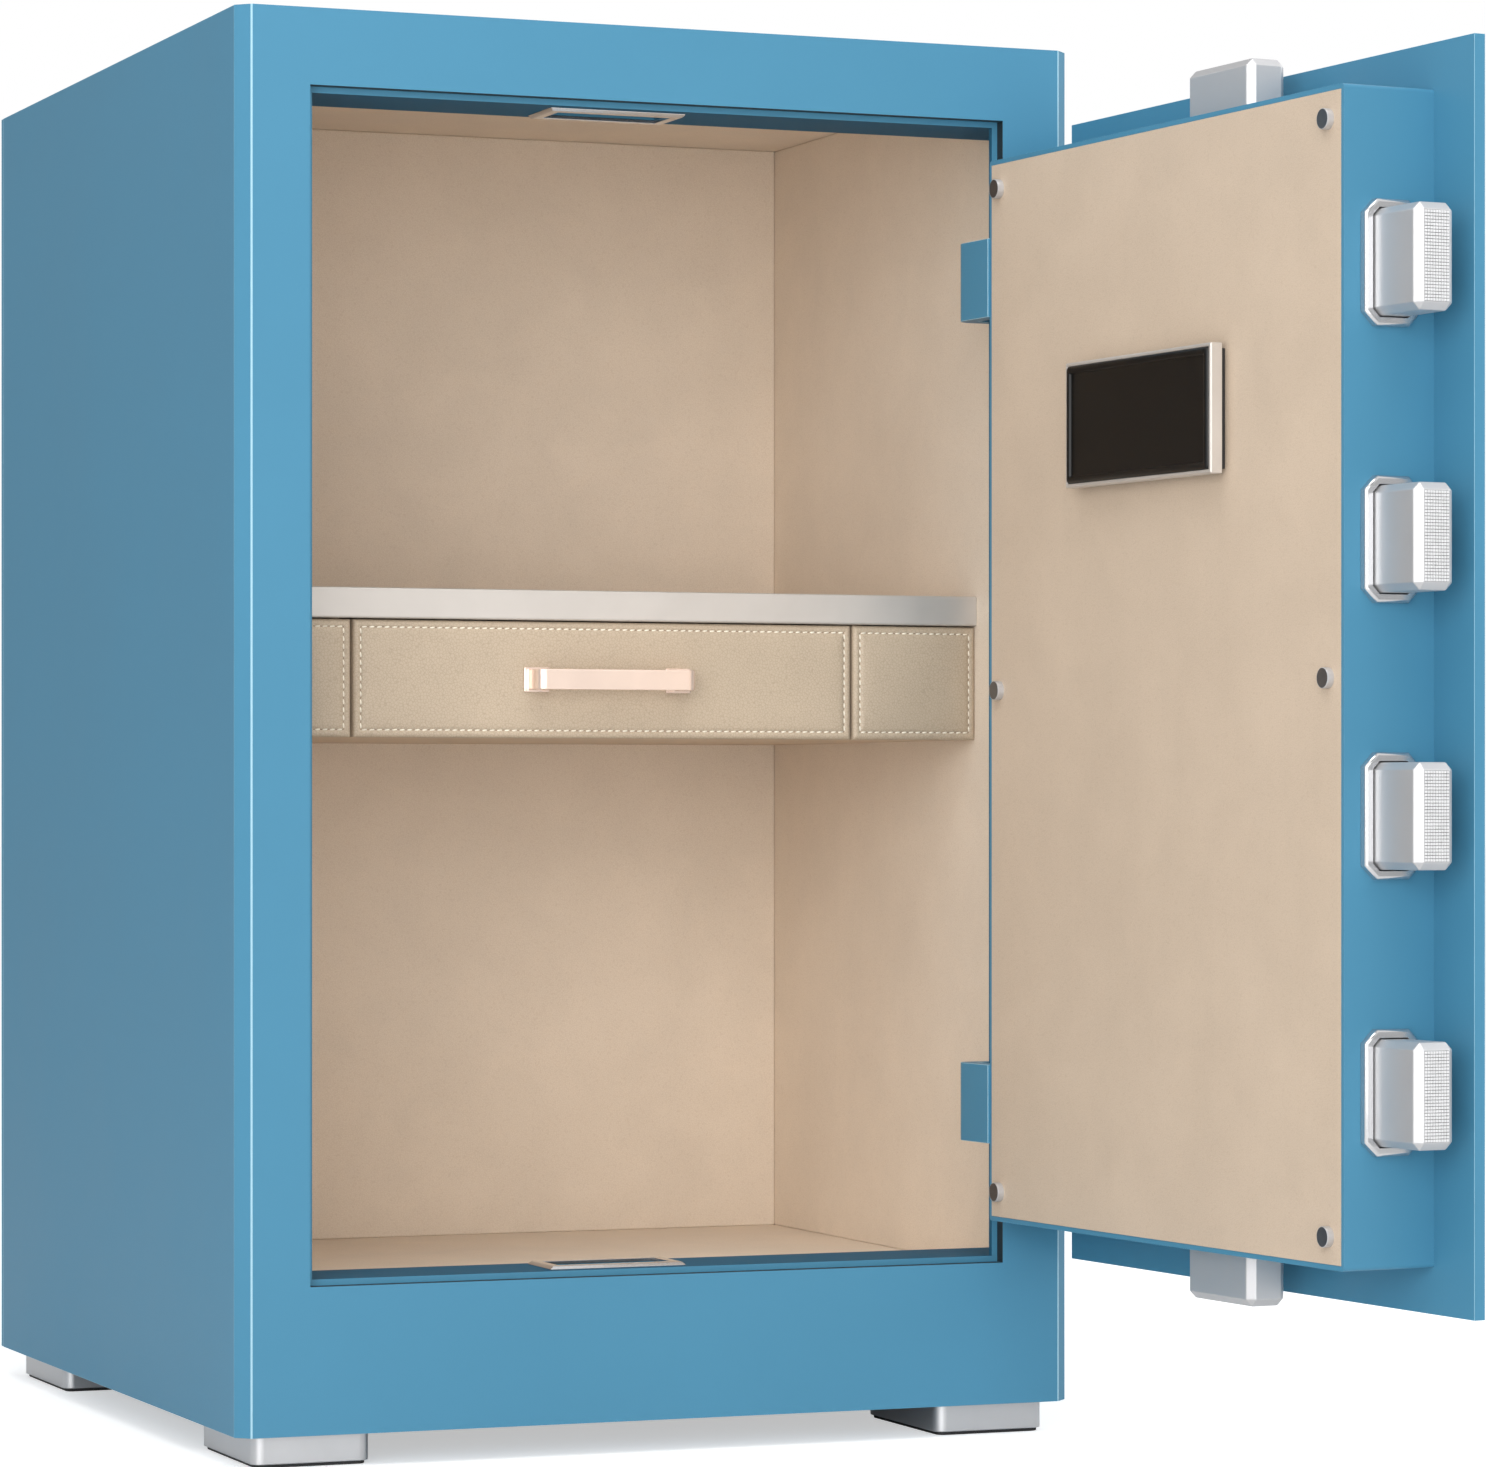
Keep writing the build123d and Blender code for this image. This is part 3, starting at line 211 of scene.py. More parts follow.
PEEL = (620, 620, 620)
PAINT_RELIEF = 0.006 * MM
SATIN_COAT = {
    "roughness": 0.44,
    "cells": PEEL,
    "relief": PAINT_RELIEF,
    "tone": 0.015,
    "rough_spread": 0.02,
    "patches": 9.0,
    "Specular_IOR_Level": 0.3,
}
blue_paint = new_finish("blue_powder_coat", BLUE, **SATIN_COAT)
# The lighter blue of the rounded edges: a painted highlight, not a different coat.
blue_highlight_edges = new_finish(
    "blue_coat_painted_edge_highlights", BLUE_EDGE_HIGHLIGHT, roughness=0.3, cells=PEEL, relief=PAINT_RELIEF / 2,
    tone=0.05, rough_spread=0.04, patches=60.0,
)
# The cut edge round the door opening takes a near-black coat: a painted shadow, not a bare edge.
dark_edge = new_finish(
    "opening_edge_painted_shadow", OPENING_EDGE_SHADOW, roughness=0.5, cells=PEEL, relief=PAINT_RELIEF, tone=0.2,
    rough_spread=0.05, patches=80.0,
)
# Their rounded edges take slot 1, the lighter blue of the painted highlight.
for node in ("cabinet_shell", "back_plate"):
    finish_node(node, blue_paint, blue_highlight_edges)
    soften(node, radius=0.9 * MM, highlight_slot=1)

CORNER_BEVEL_W = 5.9 * MM
HIGHLIGHT_LINE_HALF = 0.4 * MM
PLATE_MARGIN = 5 * MM
plate_low, plate_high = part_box("front_frame")
# A thin line of lighter blue along each vertical corner of the front plate: a painted highlight.
front_paint = new_finish("blue_coat_with_painted_corner_highlights", BLUE, **SATIN_COAT)
front_tree = front_paint.node_tree
front_place = add_node(front_tree, "ShaderNodeTexCoord")
front_split = add_node(front_tree, "ShaderNodeSeparateXYZ")
from_middle = add_node(front_tree, "ShaderNodeMath", {"operation": "ABSOLUTE"})
on_highlight_line = add_node(front_tree, "ShaderNodeMath", {"operation": "COMPARE"})
on_highlight_line.inputs[1].default_value = plate_high.x - CORNER_BEVEL_W
on_highlight_line.inputs[2].default_value = HIGHLIGHT_LINE_HALF
highlight_line_mix = add_node(front_tree, "ShaderNodeMix", {"data_type": "RGBA"})
highlight_line_mix.inputs["B"].default_value = BLUE_EDGE_HIGHLIGHT
for output, socket in (
    (front_place.outputs["Object"], front_split.inputs["Vector"]),
    (front_split.outputs["X"], from_middle.inputs[0]),
    (from_middle.outputs["Value"], on_highlight_line.inputs[0]),
    (on_highlight_line.outputs["Value"], highlight_line_mix.inputs["Factor"]),
    (front_tree.nodes["tint"].outputs["Result"], highlight_line_mix.inputs["A"]),
    (highlight_line_mix.outputs["Result"], front_tree.nodes["Principled BSDF"].inputs["Base Color"]),
):
    front_tree.links.new(output, socket)
finish_node("front_frame", front_paint, dark_edge)
soften("front_frame", radius=0.4 * MM)


def faces_the_opening(face):
    """True for the cut edge of the front plate round the door opening."""
    inside = all(
        plate_low[axis] + PLATE_MARGIN < face.center[axis] < plate_high[axis] - PLATE_MARGIN
        for axis in (0, 2)
    )
    return inside and abs(face.normal.y) < 0.5


# The near-black painted shadow goes on the cut edge round the opening.
finish_faces("front_frame", 1, faces_the_opening)

# ---- Door frame and strike plates ----------------------------------------------------------------
# A folded steel ledge, welded behind the front plate, that the shut door rests on. Its deep returns
# take a much darker blue, painted shade for the recess. A bevelled chrome plate, glued on, frames the
# slot of each bolt in the returns.

RETURN_SHADE_BLUE = (0.018, 0.105, 0.185, 1)
CHROME = (0.64, 0.64, 0.65, 1)

return_shade_paint = new_finish(
    "blue_coat_painted_shade_on_returns", RETURN_SHADE_BLUE, roughness=0.7, cells=PEEL, relief=PAINT_RELIEF, tone=0.04,
    rough_spread=0.03, patches=14.0, Specular_IOR_Level=0.15,
)
finish_node("door_frame", blue_paint, return_shade_paint)
# Every face of the frame that doesn't face the front takes the dark blue: painted shade for the
# recess.
finish_faces("door_frame", 1, lambda face: face.normal.y > -0.5)

FINE = (1500, 1500, 1500)
chrome = new_finish(
    "bright_chrome", CHROME, roughness=0.16, cells=FINE, relief=0.0004 * MM, tone=0.01,
    rough_spread=0.02, patches=40.0, Metallic=0.9,
)
finish_node("strike_plates", chrome)
soften("strike_plates", radius=0.3 * MM)

# ---- Fire boards and linings ---------------------------------------------------------------------
# Light mineral boards fill the thick back and the floor. The inside is lined with boards that are
# wrapped in smooth beige leatherette and glued in, so their edges are slightly rolled.

RAW_BOARD = (0.60, 0.58, 0.53, 1)
BOARD_FIBRES = (260, 260, 900)
# The inside leatherette is given a lighter beige than the same leatherette on the door: painted light
# against the shade inside the cabinet.
BEIGE = (0.845, 0.725, 0.595, 1)
DOOR_BEIGE = (0.575, 0.46, 0.35, 1)
WANDER = 1.1 * MM
CREASE_TINT = (1, 0.97, 0.94)


def make_hide_group():
    """Small rounded cells with fine creases between them, like leather and leatherette."""
    group, source, result = effect_group(
        "hide_cells", [("Cells per metre", "NodeSocketFloat", 900.0)], ["Height", "Creases"]
    )
    place = add_node(group, "ShaderNodeTexCoord")
    wander = add_node(group, "ShaderNodeTexNoise", inputs={"Scale": 420, "Detail": 3})
    shift = add_node(group, "ShaderNodeVectorMath", {"operation": "MULTIPLY_ADD"})
    shift.inputs[1].default_value = (WANDER, WANDER, WANDER)
    cells = add_node(group, "ShaderNodeTexVoronoi", {"feature": "DISTANCE_TO_EDGE"})
    rounded = add_node(group, "ShaderNodeMapRange", {"interpolation_type": "SMOOTHSTEP"})
    rounded.inputs["From Max"].default_value = 0.28
    creased = add_node(group, "ShaderNodeMapRange", inputs={"To Min": 1, "To Max": 0})
    creased.inputs["From Max"].default_value = 0.12
    links = group.links
    links.new(place.outputs["Object"], wander.inputs["Vector"])
    links.new(wander.outputs["Color"], shift.inputs[0])
    links.new(place.outputs["Object"], shift.inputs[2])
    links.new(shift.outputs["Vector"], cells.inputs["Vector"])
    links.new(source.outputs["Cells per metre"], cells.inputs["Scale"])
    links.new(cells.outputs["Distance"], rounded.inputs["Value"])
    links.new(cells.outputs["Distance"], creased.inputs["Value"])
    links.new(rounded.outputs["Result"], result.inputs["Height"])
    links.new(creased.outputs["Result"], result.inputs["Creases"])
    return group


hide_cells = make_hide_group()


def new_hide(name, colour, roughness, cells, relief, crease=0.8, **sockets):
    """A leather-like material: an uneven tone, and cells with darker creases."""
    material = new_finish(
        name, colour, roughness=roughness, cells=FINE, relief=relief, tone=0.04, rough_spread=0.05,
        patches=22.0, **sockets,
    )
    tree = material.node_tree
    skin = add_node(tree, "ShaderNodeGroup", {"node_tree": hide_cells}, {"Cells per metre": cells})
    darker = add_node(tree, "ShaderNodeMix", {"data_type": "RGBA", "blend_type": "MULTIPLY"})
    darker.inputs["B"].default_value = shaded(CREASE_TINT, crease)
    tree.links.new(skin.outputs["Height"], tree.nodes["relief"].inputs["Height"])
    tree.links.new(skin.outputs["Creases"], darker.inputs["Factor"])
    tree.links.new(tree.nodes["tint"].outputs["Result"], darker.inputs["A"])
    tree.links.new(darker.outputs["Result"], tree.nodes["Principled BSDF"].inputs["Base Color"])
    return material


raw_board = new_finish(
    "light_fire_board", RAW_BOARD, roughness=0.85, cells=BOARD_FIBRES, relief=0.12 * MM, tone=0.14,
    rough_spread=0.05, patches=350.0,
)
for node in ("back_filler_board", "floor_filler_board"):
    finish_node(node, raw_board)
    soften(node, radius=0.4 * MM)

leatherette = new_hide(
    "beige_leatherette", BEIGE, roughness=0.55, cells=1100.0, relief=0.02 * MM, crease=0.9,
    Sheen_Weight=0.08,
)
for node in ("back_lining", "ceiling_lining", "floor_lining", "side_linings"):
    finish_node(node, leatherette)
    soften(node, radius=0.7 * MM)

# ---- Feet ----------------------------------------------------------------------------------------
# Four deep-drawn metal shells, brushed and satin chromed, each with a black rubber pad let into it.
# A screw through the shell's middle holds it to the body's underside.

FOOT_CHROME = (0.62, 0.62, 0.63, 1)
RUBBER = (0.022, 0.022, 0.024, 1)
ZINC = (0.52, 0.52, 0.50, 1)
MOULDED_RUBBER = (900, 900, 900)
ZINC_SPANGLE = (420, 420, 420)
BRUSHED_LEVEL = (60, 60, 2600)

foot_chrome = new_finish(
    "satin_chrome_feet", FOOT_CHROME, roughness=0.34, cells=BRUSHED_LEVEL, relief=0.0006 * MM,
    tone=0.02, rough_spread=0.015, patches=50.0, Metallic=0.85,
)
rubber = new_finish(
    "black_rubber", RUBBER, roughness=0.75, cells=MOULDED_RUBBER, relief=0.03 * MM, tone=0.2,
    rough_spread=0.08, patches=90.0,
)
zinc = new_finish(
    "zinc_plate", ZINC, roughness=0.42, cells=ZINC_SPANGLE, relief=0.004 * MM, tone=0.09,
    rough_spread=0.09, patches=160.0, Metallic=1,
)
finish_node("feet", foot_chrome)
finish_node("foot_pads", rubber)
finish_node("foot_screws", zinc)
soften("feet", radius=0.6 * MM)
soften("foot_pads", radius=0.5 * MM)

# ---- Shelf ---------------------------------------------------------------------------------------
# A laminated board that lies on two leatherette-covered cleats, glued to the side linings. A rail of
# brushed champagne aluminium is pressed over its front edge.

LAMINATE = (0.60, 0.47, 0.345, 1)
LAMINATE_TEXTURE = (500, 500, 500)
CHAMPAGNE = (0.62, 0.58, 0.54, 1)
BRUSHED_ALONG = (50, 2400, 2400)

laminate = new_finish(
    "beige_laminate", LAMINATE, roughness=0.5, cells=LAMINATE_TEXTURE, relief=0.008 * MM, tone=0.05,
    rough_spread=0.05, patches=30.0,
)
champagne = new_finish(
    "champagne_brushed_aluminium", CHAMPAGNE, roughness=0.44, cells=BRUSHED_ALONG,
    relief=0.0022 * MM, tone=0.03, rough_spread=0.05, patches=25.0, Metallic=0.55, Anisotropic=0.4,
)
finish_node("shelf_board", laminate)
finish_node("shelf_cleats", leatherette)
finish_node("shelf_front_rail", champagne)
soften("shelf_board", radius=0.4 * MM)
soften("shelf_cleats", radius=0.6 * MM)
soften("shelf_front_rail", radius=0.3 * MM)

# ---- Drawer and the panels beside it -------------------------------------------------------------
# A laminated box on steel runners. Its front and the fixed panel on each side are boards wrapped in
# beige leather, and a row of light stitches sews the wrapped edge down and sinks into the padding.

LEATHER = (0.52, 0.42, 0.31, 1)
THREAD = (0.93, 0.85, 0.72, 1)
NEEDLE_HOLE_SHADE = (0.15, 0.10, 0.06, 1)
THREAD_TWIST = (2600, 2600, 2600)
ROLL_R = 1.8 * MM
ROLL_STEPS = (0, 0.08, 0.28, 0.6, 1)
SEAM_IN = 3.3 * MM
SEAM_DEEP = 0.5 * MM
SEAM_HALF = 0.5 * MM
SEAM_STEPS = (-1, -0.5, 0, 0.5, 1)
PADDING = 0.5 * MM
PADDING_RISE = 7 * MM
RISE_STEPS = (0.3, 0.6, 1)
STITCH_PITCH = 3.46 * MM
STITCH_LENGTH = 2.6 * MM
STITCH_R = 0.43 * MM
STITCH_LIFT = 0.3
STITCH_SLANT = math.radians(9)
HOLE_R = 0.55 * MM
HOLE_SIDES = 8
HOLE_RISE = 0.06 * MM
# Each ring of a stitch: its place along the stitch, its thickness, and how far it is pulled in.
STITCH_RINGS = ((-0.5, 0.25, 0.9), (-0.36, 0.85, 0.2), (0, 1, 0), (0.36, 0.85, 0.2), (0.5, 0.25, 0.9))
STITCH_SIDES = 6

leather = new_hide(
    "beige_leather", LEATHER, roughness=0.48, cells=760.0, relief=0.045 * MM, crease=0.82,
    Sheen_Weight=0.05,
)
thread = new_finish(
    "light_thread", THREAD, roughness=0.7, cells=THREAD_TWIST, relief=0.05 * MM, tone=0.12,
    rough_spread=0.08, patches=900.0,
)
# Each needle hole is a flat dark disc: painted shade where the hole is.
needle_hole = new_finish(
    "needle_holes_painted_shade", NEEDLE_HOLE_SHADE, roughness=0.8, cells=FINE, relief=0.02 * MM, tone=0.2,
    rough_spread=0.05, patches=900.0,
)


def split_at_gaps(faces, axis):
    """Groups of faces with empty space between them along one axis, low values first."""
    groups, reach = [], -math.inf
    for face in sorted(faces, key=lambda points: min(point[axis] for point in points)):
        if min(point[axis] for point in face) > reach:
            groups.append([])
        groups[-1].append(face)
        reach = max(reach, *(point[axis] for point in face))
    return groups


def solid_boxes(node, turn=Matrix()):
    """The bounds of each separate solid of a CAD node, low ones first, then from left to right."""
    mesh = frame["nodes"][node].data
    groups = [[[turn @ mesh.vertices[i].co for i in face.vertices] for face in mesh.polygons]]
    for axis in (2, 0):
        groups = [part for group in groups for part in split_at_gaps(group, axis)]
    boxes = []
    for group in groups:
        points = [point for face in group for point in face]
        lowest = Vector([min(point[axis] for point in points) for axis in range(3)])
        highest = Vector([max(point[axis] for point in points) for axis in range(3)])
        boxes.append((lowest, highest))
    return boxes


def new_piece(name, points, faces, materials, body, turn=Matrix(), sharp=40):
    """A mesh piece that rides on a body, smooth apart from its sharp edges."""
    mesh = bpy.data.meshes.new(name)
    mesh.from_pydata([tuple(point) for point in points], [], faces)
    mesh.validate()
    for material in materials:
        mesh.materials.append(material)
    mesh.shade_smooth()
    mesh.set_sharp_from_angle(angle=math.radians(sharp))
    piece = bpy.data.objects.new(name, mesh)
    piece.matrix_world = turn
    bpy.context.collection.objects.link(piece)
    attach(piece, body)
    return piece


def panel_steps(length):
    """Places across a panel: close together at the rolled edge and the seam, wide in the middle."""
    edge = [ROLL_R * share for share in ROLL_STEPS]
    seam = [SEAM_IN + SEAM_HALF * share for share in SEAM_STEPS]
    rise = [SEAM_IN + PADDING_RISE * share for share in RISE_STEPS]
    near = edge + seam + rise
    count = max(2, round((length - 2 * near[-1]) / PADDING_RISE))
    middle = [near[-1] + (length - 2 * near[-1]) * i / count for i in range(1, count)]
    return near + middle + [length - step for step in reversed(near)]


def leather_depth(inward):
    """How far the leather lies behind the foremost plane, at a distance in from the panel's edge."""
    depth = PADDING
    if inward < ROLL_R:
        depth += ROLL_R - math.sqrt(ROLL_R**2 - (ROLL_R - inward) ** 2)
    depth += SEAM_DEEP * math.exp(-(((inward - SEAM_IN) / SEAM_HALF) ** 2) * 2)
    rise = min(1, max(0, (inward - SEAM_IN) / PADDING_RISE))
    return depth - PADDING * rise * (2 - rise)


def leather_panel(name, lowest, highest, body):
    """A padded board face with rolled edges and a sunken seam line."""
    across, up = panel_steps(highest.x - lowest.x), panel_steps(highest.z - lowest.z)
    wide, tall = across[-1], up[-1]
    points = []
    for z in up:
        for x in across:
            inward = min(x, wide - x, z, tall - z)
            points.append((lowest.x + x, lowest.y + leather_depth(inward), lowest.z + z))
    columns, rows = len(across), len(up)
    faces = []
    for row in range(rows - 1):
        for column in range(columns - 1):
            start = row * columns + column
            faces.append((start, start + 1, start + columns + 1, start + columns))
    rim = list(range(columns))
    rim += [row * columns + columns - 1 for row in range(1, rows)]
    rim += [(rows - 1) * columns + column for column in range(columns - 2, -1, -1)]
    rim += [row * columns for row in range(rows - 2, 0, -1)]
    behind = [len(points) + i for i in range(len(rim))]
    points += [(points[i][0], highest.y, points[i][2]) for i in rim]
    for i, front in enumerate(rim):
        following = (i + 1) % len(rim)
        faces.append((front, behind[i], behind[following], rim[following]))
    faces.append(tuple(reversed(behind)))
    return new_piece(name, points, faces, [leather], body)


def stitch_row(name, lowest, highest, body):
    """Slanted thread stitches all round a panel's seam, with a dark disc of painted shade for the
    needle hole between each two.
    """
    left, right = lowest.x + SEAM_IN, highest.x - SEAM_IN
    bottom, top = lowest.z + SEAM_IN, highest.z - SEAM_IN
    corners = ((left, bottom), (right, bottom), (right, top), (left, top))
    corners = [Vector(corner) for corner in corners]
    surface = lowest.y + leather_depth(SEAM_IN)
    points, faces, hole_faces = [], [], []
    for start, end in zip(corners, corners[1:] + corners[:1]):
        count = round((end - start).length / STITCH_PITCH)
        along = (end - start).normalized()
        slanted = Matrix.Rotation(STITCH_SLANT, 2) @ along
        side = Vector((-slanted.y, slanted.x))
        for i in range(count):
            middle = start + (end - start) * ((i + 0.5) / count)
            first = len(points)
            for offset, thick, sunk in STITCH_RINGS:
                centre = middle + slanted * (offset * STITCH_LENGTH)
                for turn in range(STITCH_SIDES):
                    angle = turn * math.tau / STITCH_SIDES
                    flat = centre + side * (math.cos(angle) * thick * STITCH_R)
                    out = surface - STITCH_R * (STITCH_LIFT - sunk)
                    out -= math.sin(angle) * thick * STITCH_R
                    points.append((flat.x, out, flat.y))
            for ring in range(len(STITCH_RINGS) - 1):
                start_of_ring = first + ring * STITCH_SIDES
                for turn in range(STITCH_SIDES):
                    here, beside = start_of_ring + turn, start_of_ring + (turn + 1) % STITCH_SIDES
                    faces.append((here, here + STITCH_SIDES, beside + STITCH_SIDES, beside))
            hole = start + (end - start) * (i / count)
            first = len(points)
            for turn in range(HOLE_SIDES):
                angle = turn * math.tau / HOLE_SIDES
                rim = hole + Vector((math.cos(angle), math.sin(angle))) * HOLE_R
                points.append((rim.x, surface - HOLE_RISE, rim.y))
            hole_faces.append(tuple(range(first, first + HOLE_SIDES)))
    materials = [thread, needle_hole]
    piece = new_piece(name, points, faces + hole_faces, materials, body, sharp=80)
    for face in piece.data.polygons[len(faces):]:
        face.material_index = 1
    return piece


for side, box in zip(("left", "right"), solid_boxes("side_fascias")):
    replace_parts(leather_panel(f"{side}_panel_leather", *box, "cabinet"), "side_fascias")
    stitch_row(f"{side}_panel_stitches", *box, "cabinet")
drawer_box = solid_boxes("drawer_front")[0]
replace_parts(leather_panel("drawer_front_leather", *drawer_box, "drawer"), "drawer_front")
stitch_row("drawer_front_stitches", *drawer_box, "drawer")

for node in ("drawer_bay_floor", "drawer_bay_uprights", "drawer_walls", "drawer_bottom"):
    finish_node(node, laminate)
    soften(node, radius=0.4 * MM)
for node in ("drawer_runners_fixed", "drawer_runners_moving"):
    finish_node(node, zinc)
    soften(node, radius=0.2 * MM)

# ---- Drawer handle -------------------------------------------------------------------------------
# A flat D-shaped pull of cast zinc, polished and plated in a rose champagne tone. Two screws through
# the drawer front hold its feet.

ROSE = (0.95, 0.76, 0.65, 1)
rose_plate = new_finish(
    "rose_champagne_plate", ROSE, roughness=0.24, cells=BRUSHED_ALONG, relief=0.0008 * MM,
    tone=0.02, rough_spread=0.03, patches=60.0, Metallic=0.5,
)
finish_node("drawer_handle", rose_plate)
soften("drawer_handle", radius=0.5 * MM)

# ---- Door plate, casing and hinges ---------------------------------------------------------------
# A thick outer plate with a folded tray welded behind it. Two bent arms on the tray turn on steel
# pins, held by lugs welded inside the front plate. All but the pins has the body's blue coat.

# Their rounded edges take the lighter blue of the painted highlight.
for node, radius in (
    ("door_plate", 0.6 * MM),
    ("door_casing", 0.7 * MM),
    ("hinge_arms", 0.5 * MM),
    ("hinge_brackets", 0.5 * MM),
):
    finish_node(node, blue_paint, blue_highlight_edges)
    soften(node, radius, highlight_slot=1)
finish_node("hinge_pins", zinc)

# ---- Door lining and its screws ------------------------------------------------------------------
# A board wrapped in the same leatherette, set into the casing's tray. Six turned screws with flat
# round heads hold it, so each face shows fine rings and each rim is bright.

SCREW_FACE = (0.16, 0.16, 0.165, 1)
SATIN = (0.56, 0.56, 0.57, 1)
TURNED_RINGS = 2600.0
FACE_SHARE = 0.93
# Each ring of a screw's head: its share of the head's radius, and of the head's height.
BRIGHT_RIM = ((1, 0), (1, 0.86), (0.985, 0.96), (FACE_SHARE + 0.01, 1), (FACE_SHARE, 0.995))
DISH = ((FACE_SHARE - 0.01, 0.97), (0.5, 0.965), (0.08, 0.96))

# The same leatherette as inside, in a darker beige; the inside copy is painted lighter against its
# shade.
door_leatherette = new_hide(
    "beige_leatherette_on_door", DOOR_BEIGE, roughness=0.55, cells=1100.0, relief=0.02 * MM,
    crease=0.9, Sheen_Weight=0.08,
)
finish_node("door_lining", door_leatherette)
soften("door_lining", radius=0.8 * MM)

joints = frame["record"]["behaviour"]["joints"]
hinge = next(joint for joint in joints if joint["name"] == "door_hinge")
hinge_line = Vector((*hinge["pos_m"][:2], 0))
swing = Matrix.Rotation(math.radians(-hinge["range_deg"][0]), 4, "Z")
door_turn = Matrix.Translation(hinge_line) @ swing @ Matrix.Translation(-hinge_line)
shut = door_turn.inverted()

satin_steel = new_finish(
    "satin_nickel", SATIN, roughness=0.42, cells=BRUSHED_LEVEL, relief=0.0008 * MM, tone=0.015,
    rough_spread=0.02, patches=30.0, Metallic=0.65,
)
screw_face = new_finish(
    "turned_steel_face", SCREW_FACE, roughness=0.34, cells=FINE, relief=0.004 * MM, tone=0.1,
    rough_spread=0.06, patches=200.0, Metallic=0.9,
)
screw_tree = screw_face.node_tree
rings = add_node(screw_tree, "ShaderNodeTexWave", {"wave_type": "RINGS", "rings_direction": "Z"})
rings.inputs["Scale"].default_value = TURNED_RINGS / math.tau
screw_place = add_node(screw_tree, "ShaderNodeTexCoord")
screw_tree.links.new(screw_place.outputs["Object"], rings.inputs["Vector"])
screw_tree.links.new(rings.outputs["Fac"], screw_tree.nodes["relief"].inputs["Height"])


def stacked(rings_of_points):
    """Points and faces of a closed form through rings with equal numbers of points."""
    points = [point for ring in rings_of_points for point in ring]
    count = len(rings_of_points[0])
    faces = [tuple(reversed(range(count)))]
    for ring in range(len(rings_of_points) - 1):
        for i in range(count):
            here, beside = ring * count + i, ring * count + (i + 1) % count
            faces.append((here, beside, beside + count, here + count))
    faces.append(tuple(range(len(points) - count, len(points))))
    return points, faces


def circle_ring(radius, height, count=40):
    """Points of a circle about the local Z axis."""
    angles = [math.tau * i / count for i in range(count)]
    return [(radius * math.cos(angle), radius * math.sin(angle), height) for angle in angles]


facing_in = Matrix.Rotation(math.radians(-90), 4, "X")
lining_back = solid_boxes("door_lining", shut)[0][1].y
for number, (lowest, highest) in enumerate(solid_boxes("lining_screws", shut), start=1):
    head_r, tall = (highest.x - lowest.x) / 2, highest.y - lining_back
    profile = [circle_ring(head_r * wide, tall * high) for wide, high in BRIGHT_RIM + DISH]
    points, faces = stacked(profile)
    middle = Vector(((lowest.x + highest.x) / 2, lining_back, (lowest.z + highest.z) / 2))
    place = door_turn @ Matrix.Translation(middle) @ facing_in
    materials = [satin_steel, screw_face]
    name = f"lining_screw_{number}"
    screw = new_piece(name, points, faces, materials, "door", place, sharp=25)
    for face in screw.data.polygons:
        if face.center.to_2d().length < head_r * FACE_SHARE and face.center.z > tall / 2:
            face.material_index = 1
    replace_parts(screw, "lining_screws")

# ---- Battery box ---------------------------------------------------------------------------------
# A moulded box over a cut-out in the lining: a black base, a champagne band clipped round it, and a
# gloss black cover whose field lies a little below its border. The tray behind it holds four cells.

GLOSS_BLACK = (0.004, 0.004, 0.004, 1)
MATT_BLACK = (0.022, 0.022, 0.023, 1)
JACKET = (0.030, 0.038, 0.048, 1)
BORDER_W = 2.6 * MM
FIELD_DEEP = 1.1 * MM
COVER_CORNER_R = 1.6 * MM
LEAST_CORNER_R = 0.5 * MM
MOULDED = (1300, 1300, 1300)

gloss_black = new_finish(
    "gloss_black_abs", GLOSS_BLACK, roughness=0.34, cells=FINE, relief=0.002 * MM, tone=0.15,
    rough_spread=0.01, patches=70.0, Specular_IOR_Level=0.3,
)
matt_black = new_finish(
    "matt_black_abs", MATT_BLACK, roughness=0.6, cells=MOULDED, relief=0.012 * MM, tone=0.12,
    rough_spread=0.05, patches=90.0,
)
cell_jacket = new_finish(
    "dark_cell_jacket", JACKET, roughness=0.35, cells=MOULDED, relief=0.004 * MM, tone=0.2,
    rough_spread=0.05, patches=120.0,
)
for node, material in (
    ("battery_box_base", matt_black),
    ("battery_box_band", champagne),
    ("battery_tray", matt_black),
    ("battery_cells", cell_jacket),
):
    finish_node(node, material)
soften("battery_box_base", radius=0.3 * MM)
soften("battery_box_band", radius=0.3 * MM)


def rounded_outline(half_w, half_h, radius, depth, steps=4):
    """Points of a rounded rectangle across X and Z at one depth, counter-clockwise from the right."""
    points = []
    for side_x, side_z, start in ((1, 1, 0), (-1, 1, 90), (-1, -1, 180), (1, -1, 270)):
        for i in range(steps + 1):
            angle = math.radians(start + 90 * i / steps)
            across = side_x * (half_w - radius) + radius * math.cos(angle)
            up = side_z * (half_h - radius) + radius * math.sin(angle)
            points.append((across, depth, up))
    return points


cover_low, cover_high = solid_boxes("battery_box_cover", shut)[0]
cover_w, cover_h = (cover_high.x - cover_low.x) / 2, (cover_high.z - cover_low.z) / 2
cover_t = cover_high.y - cover_low.y
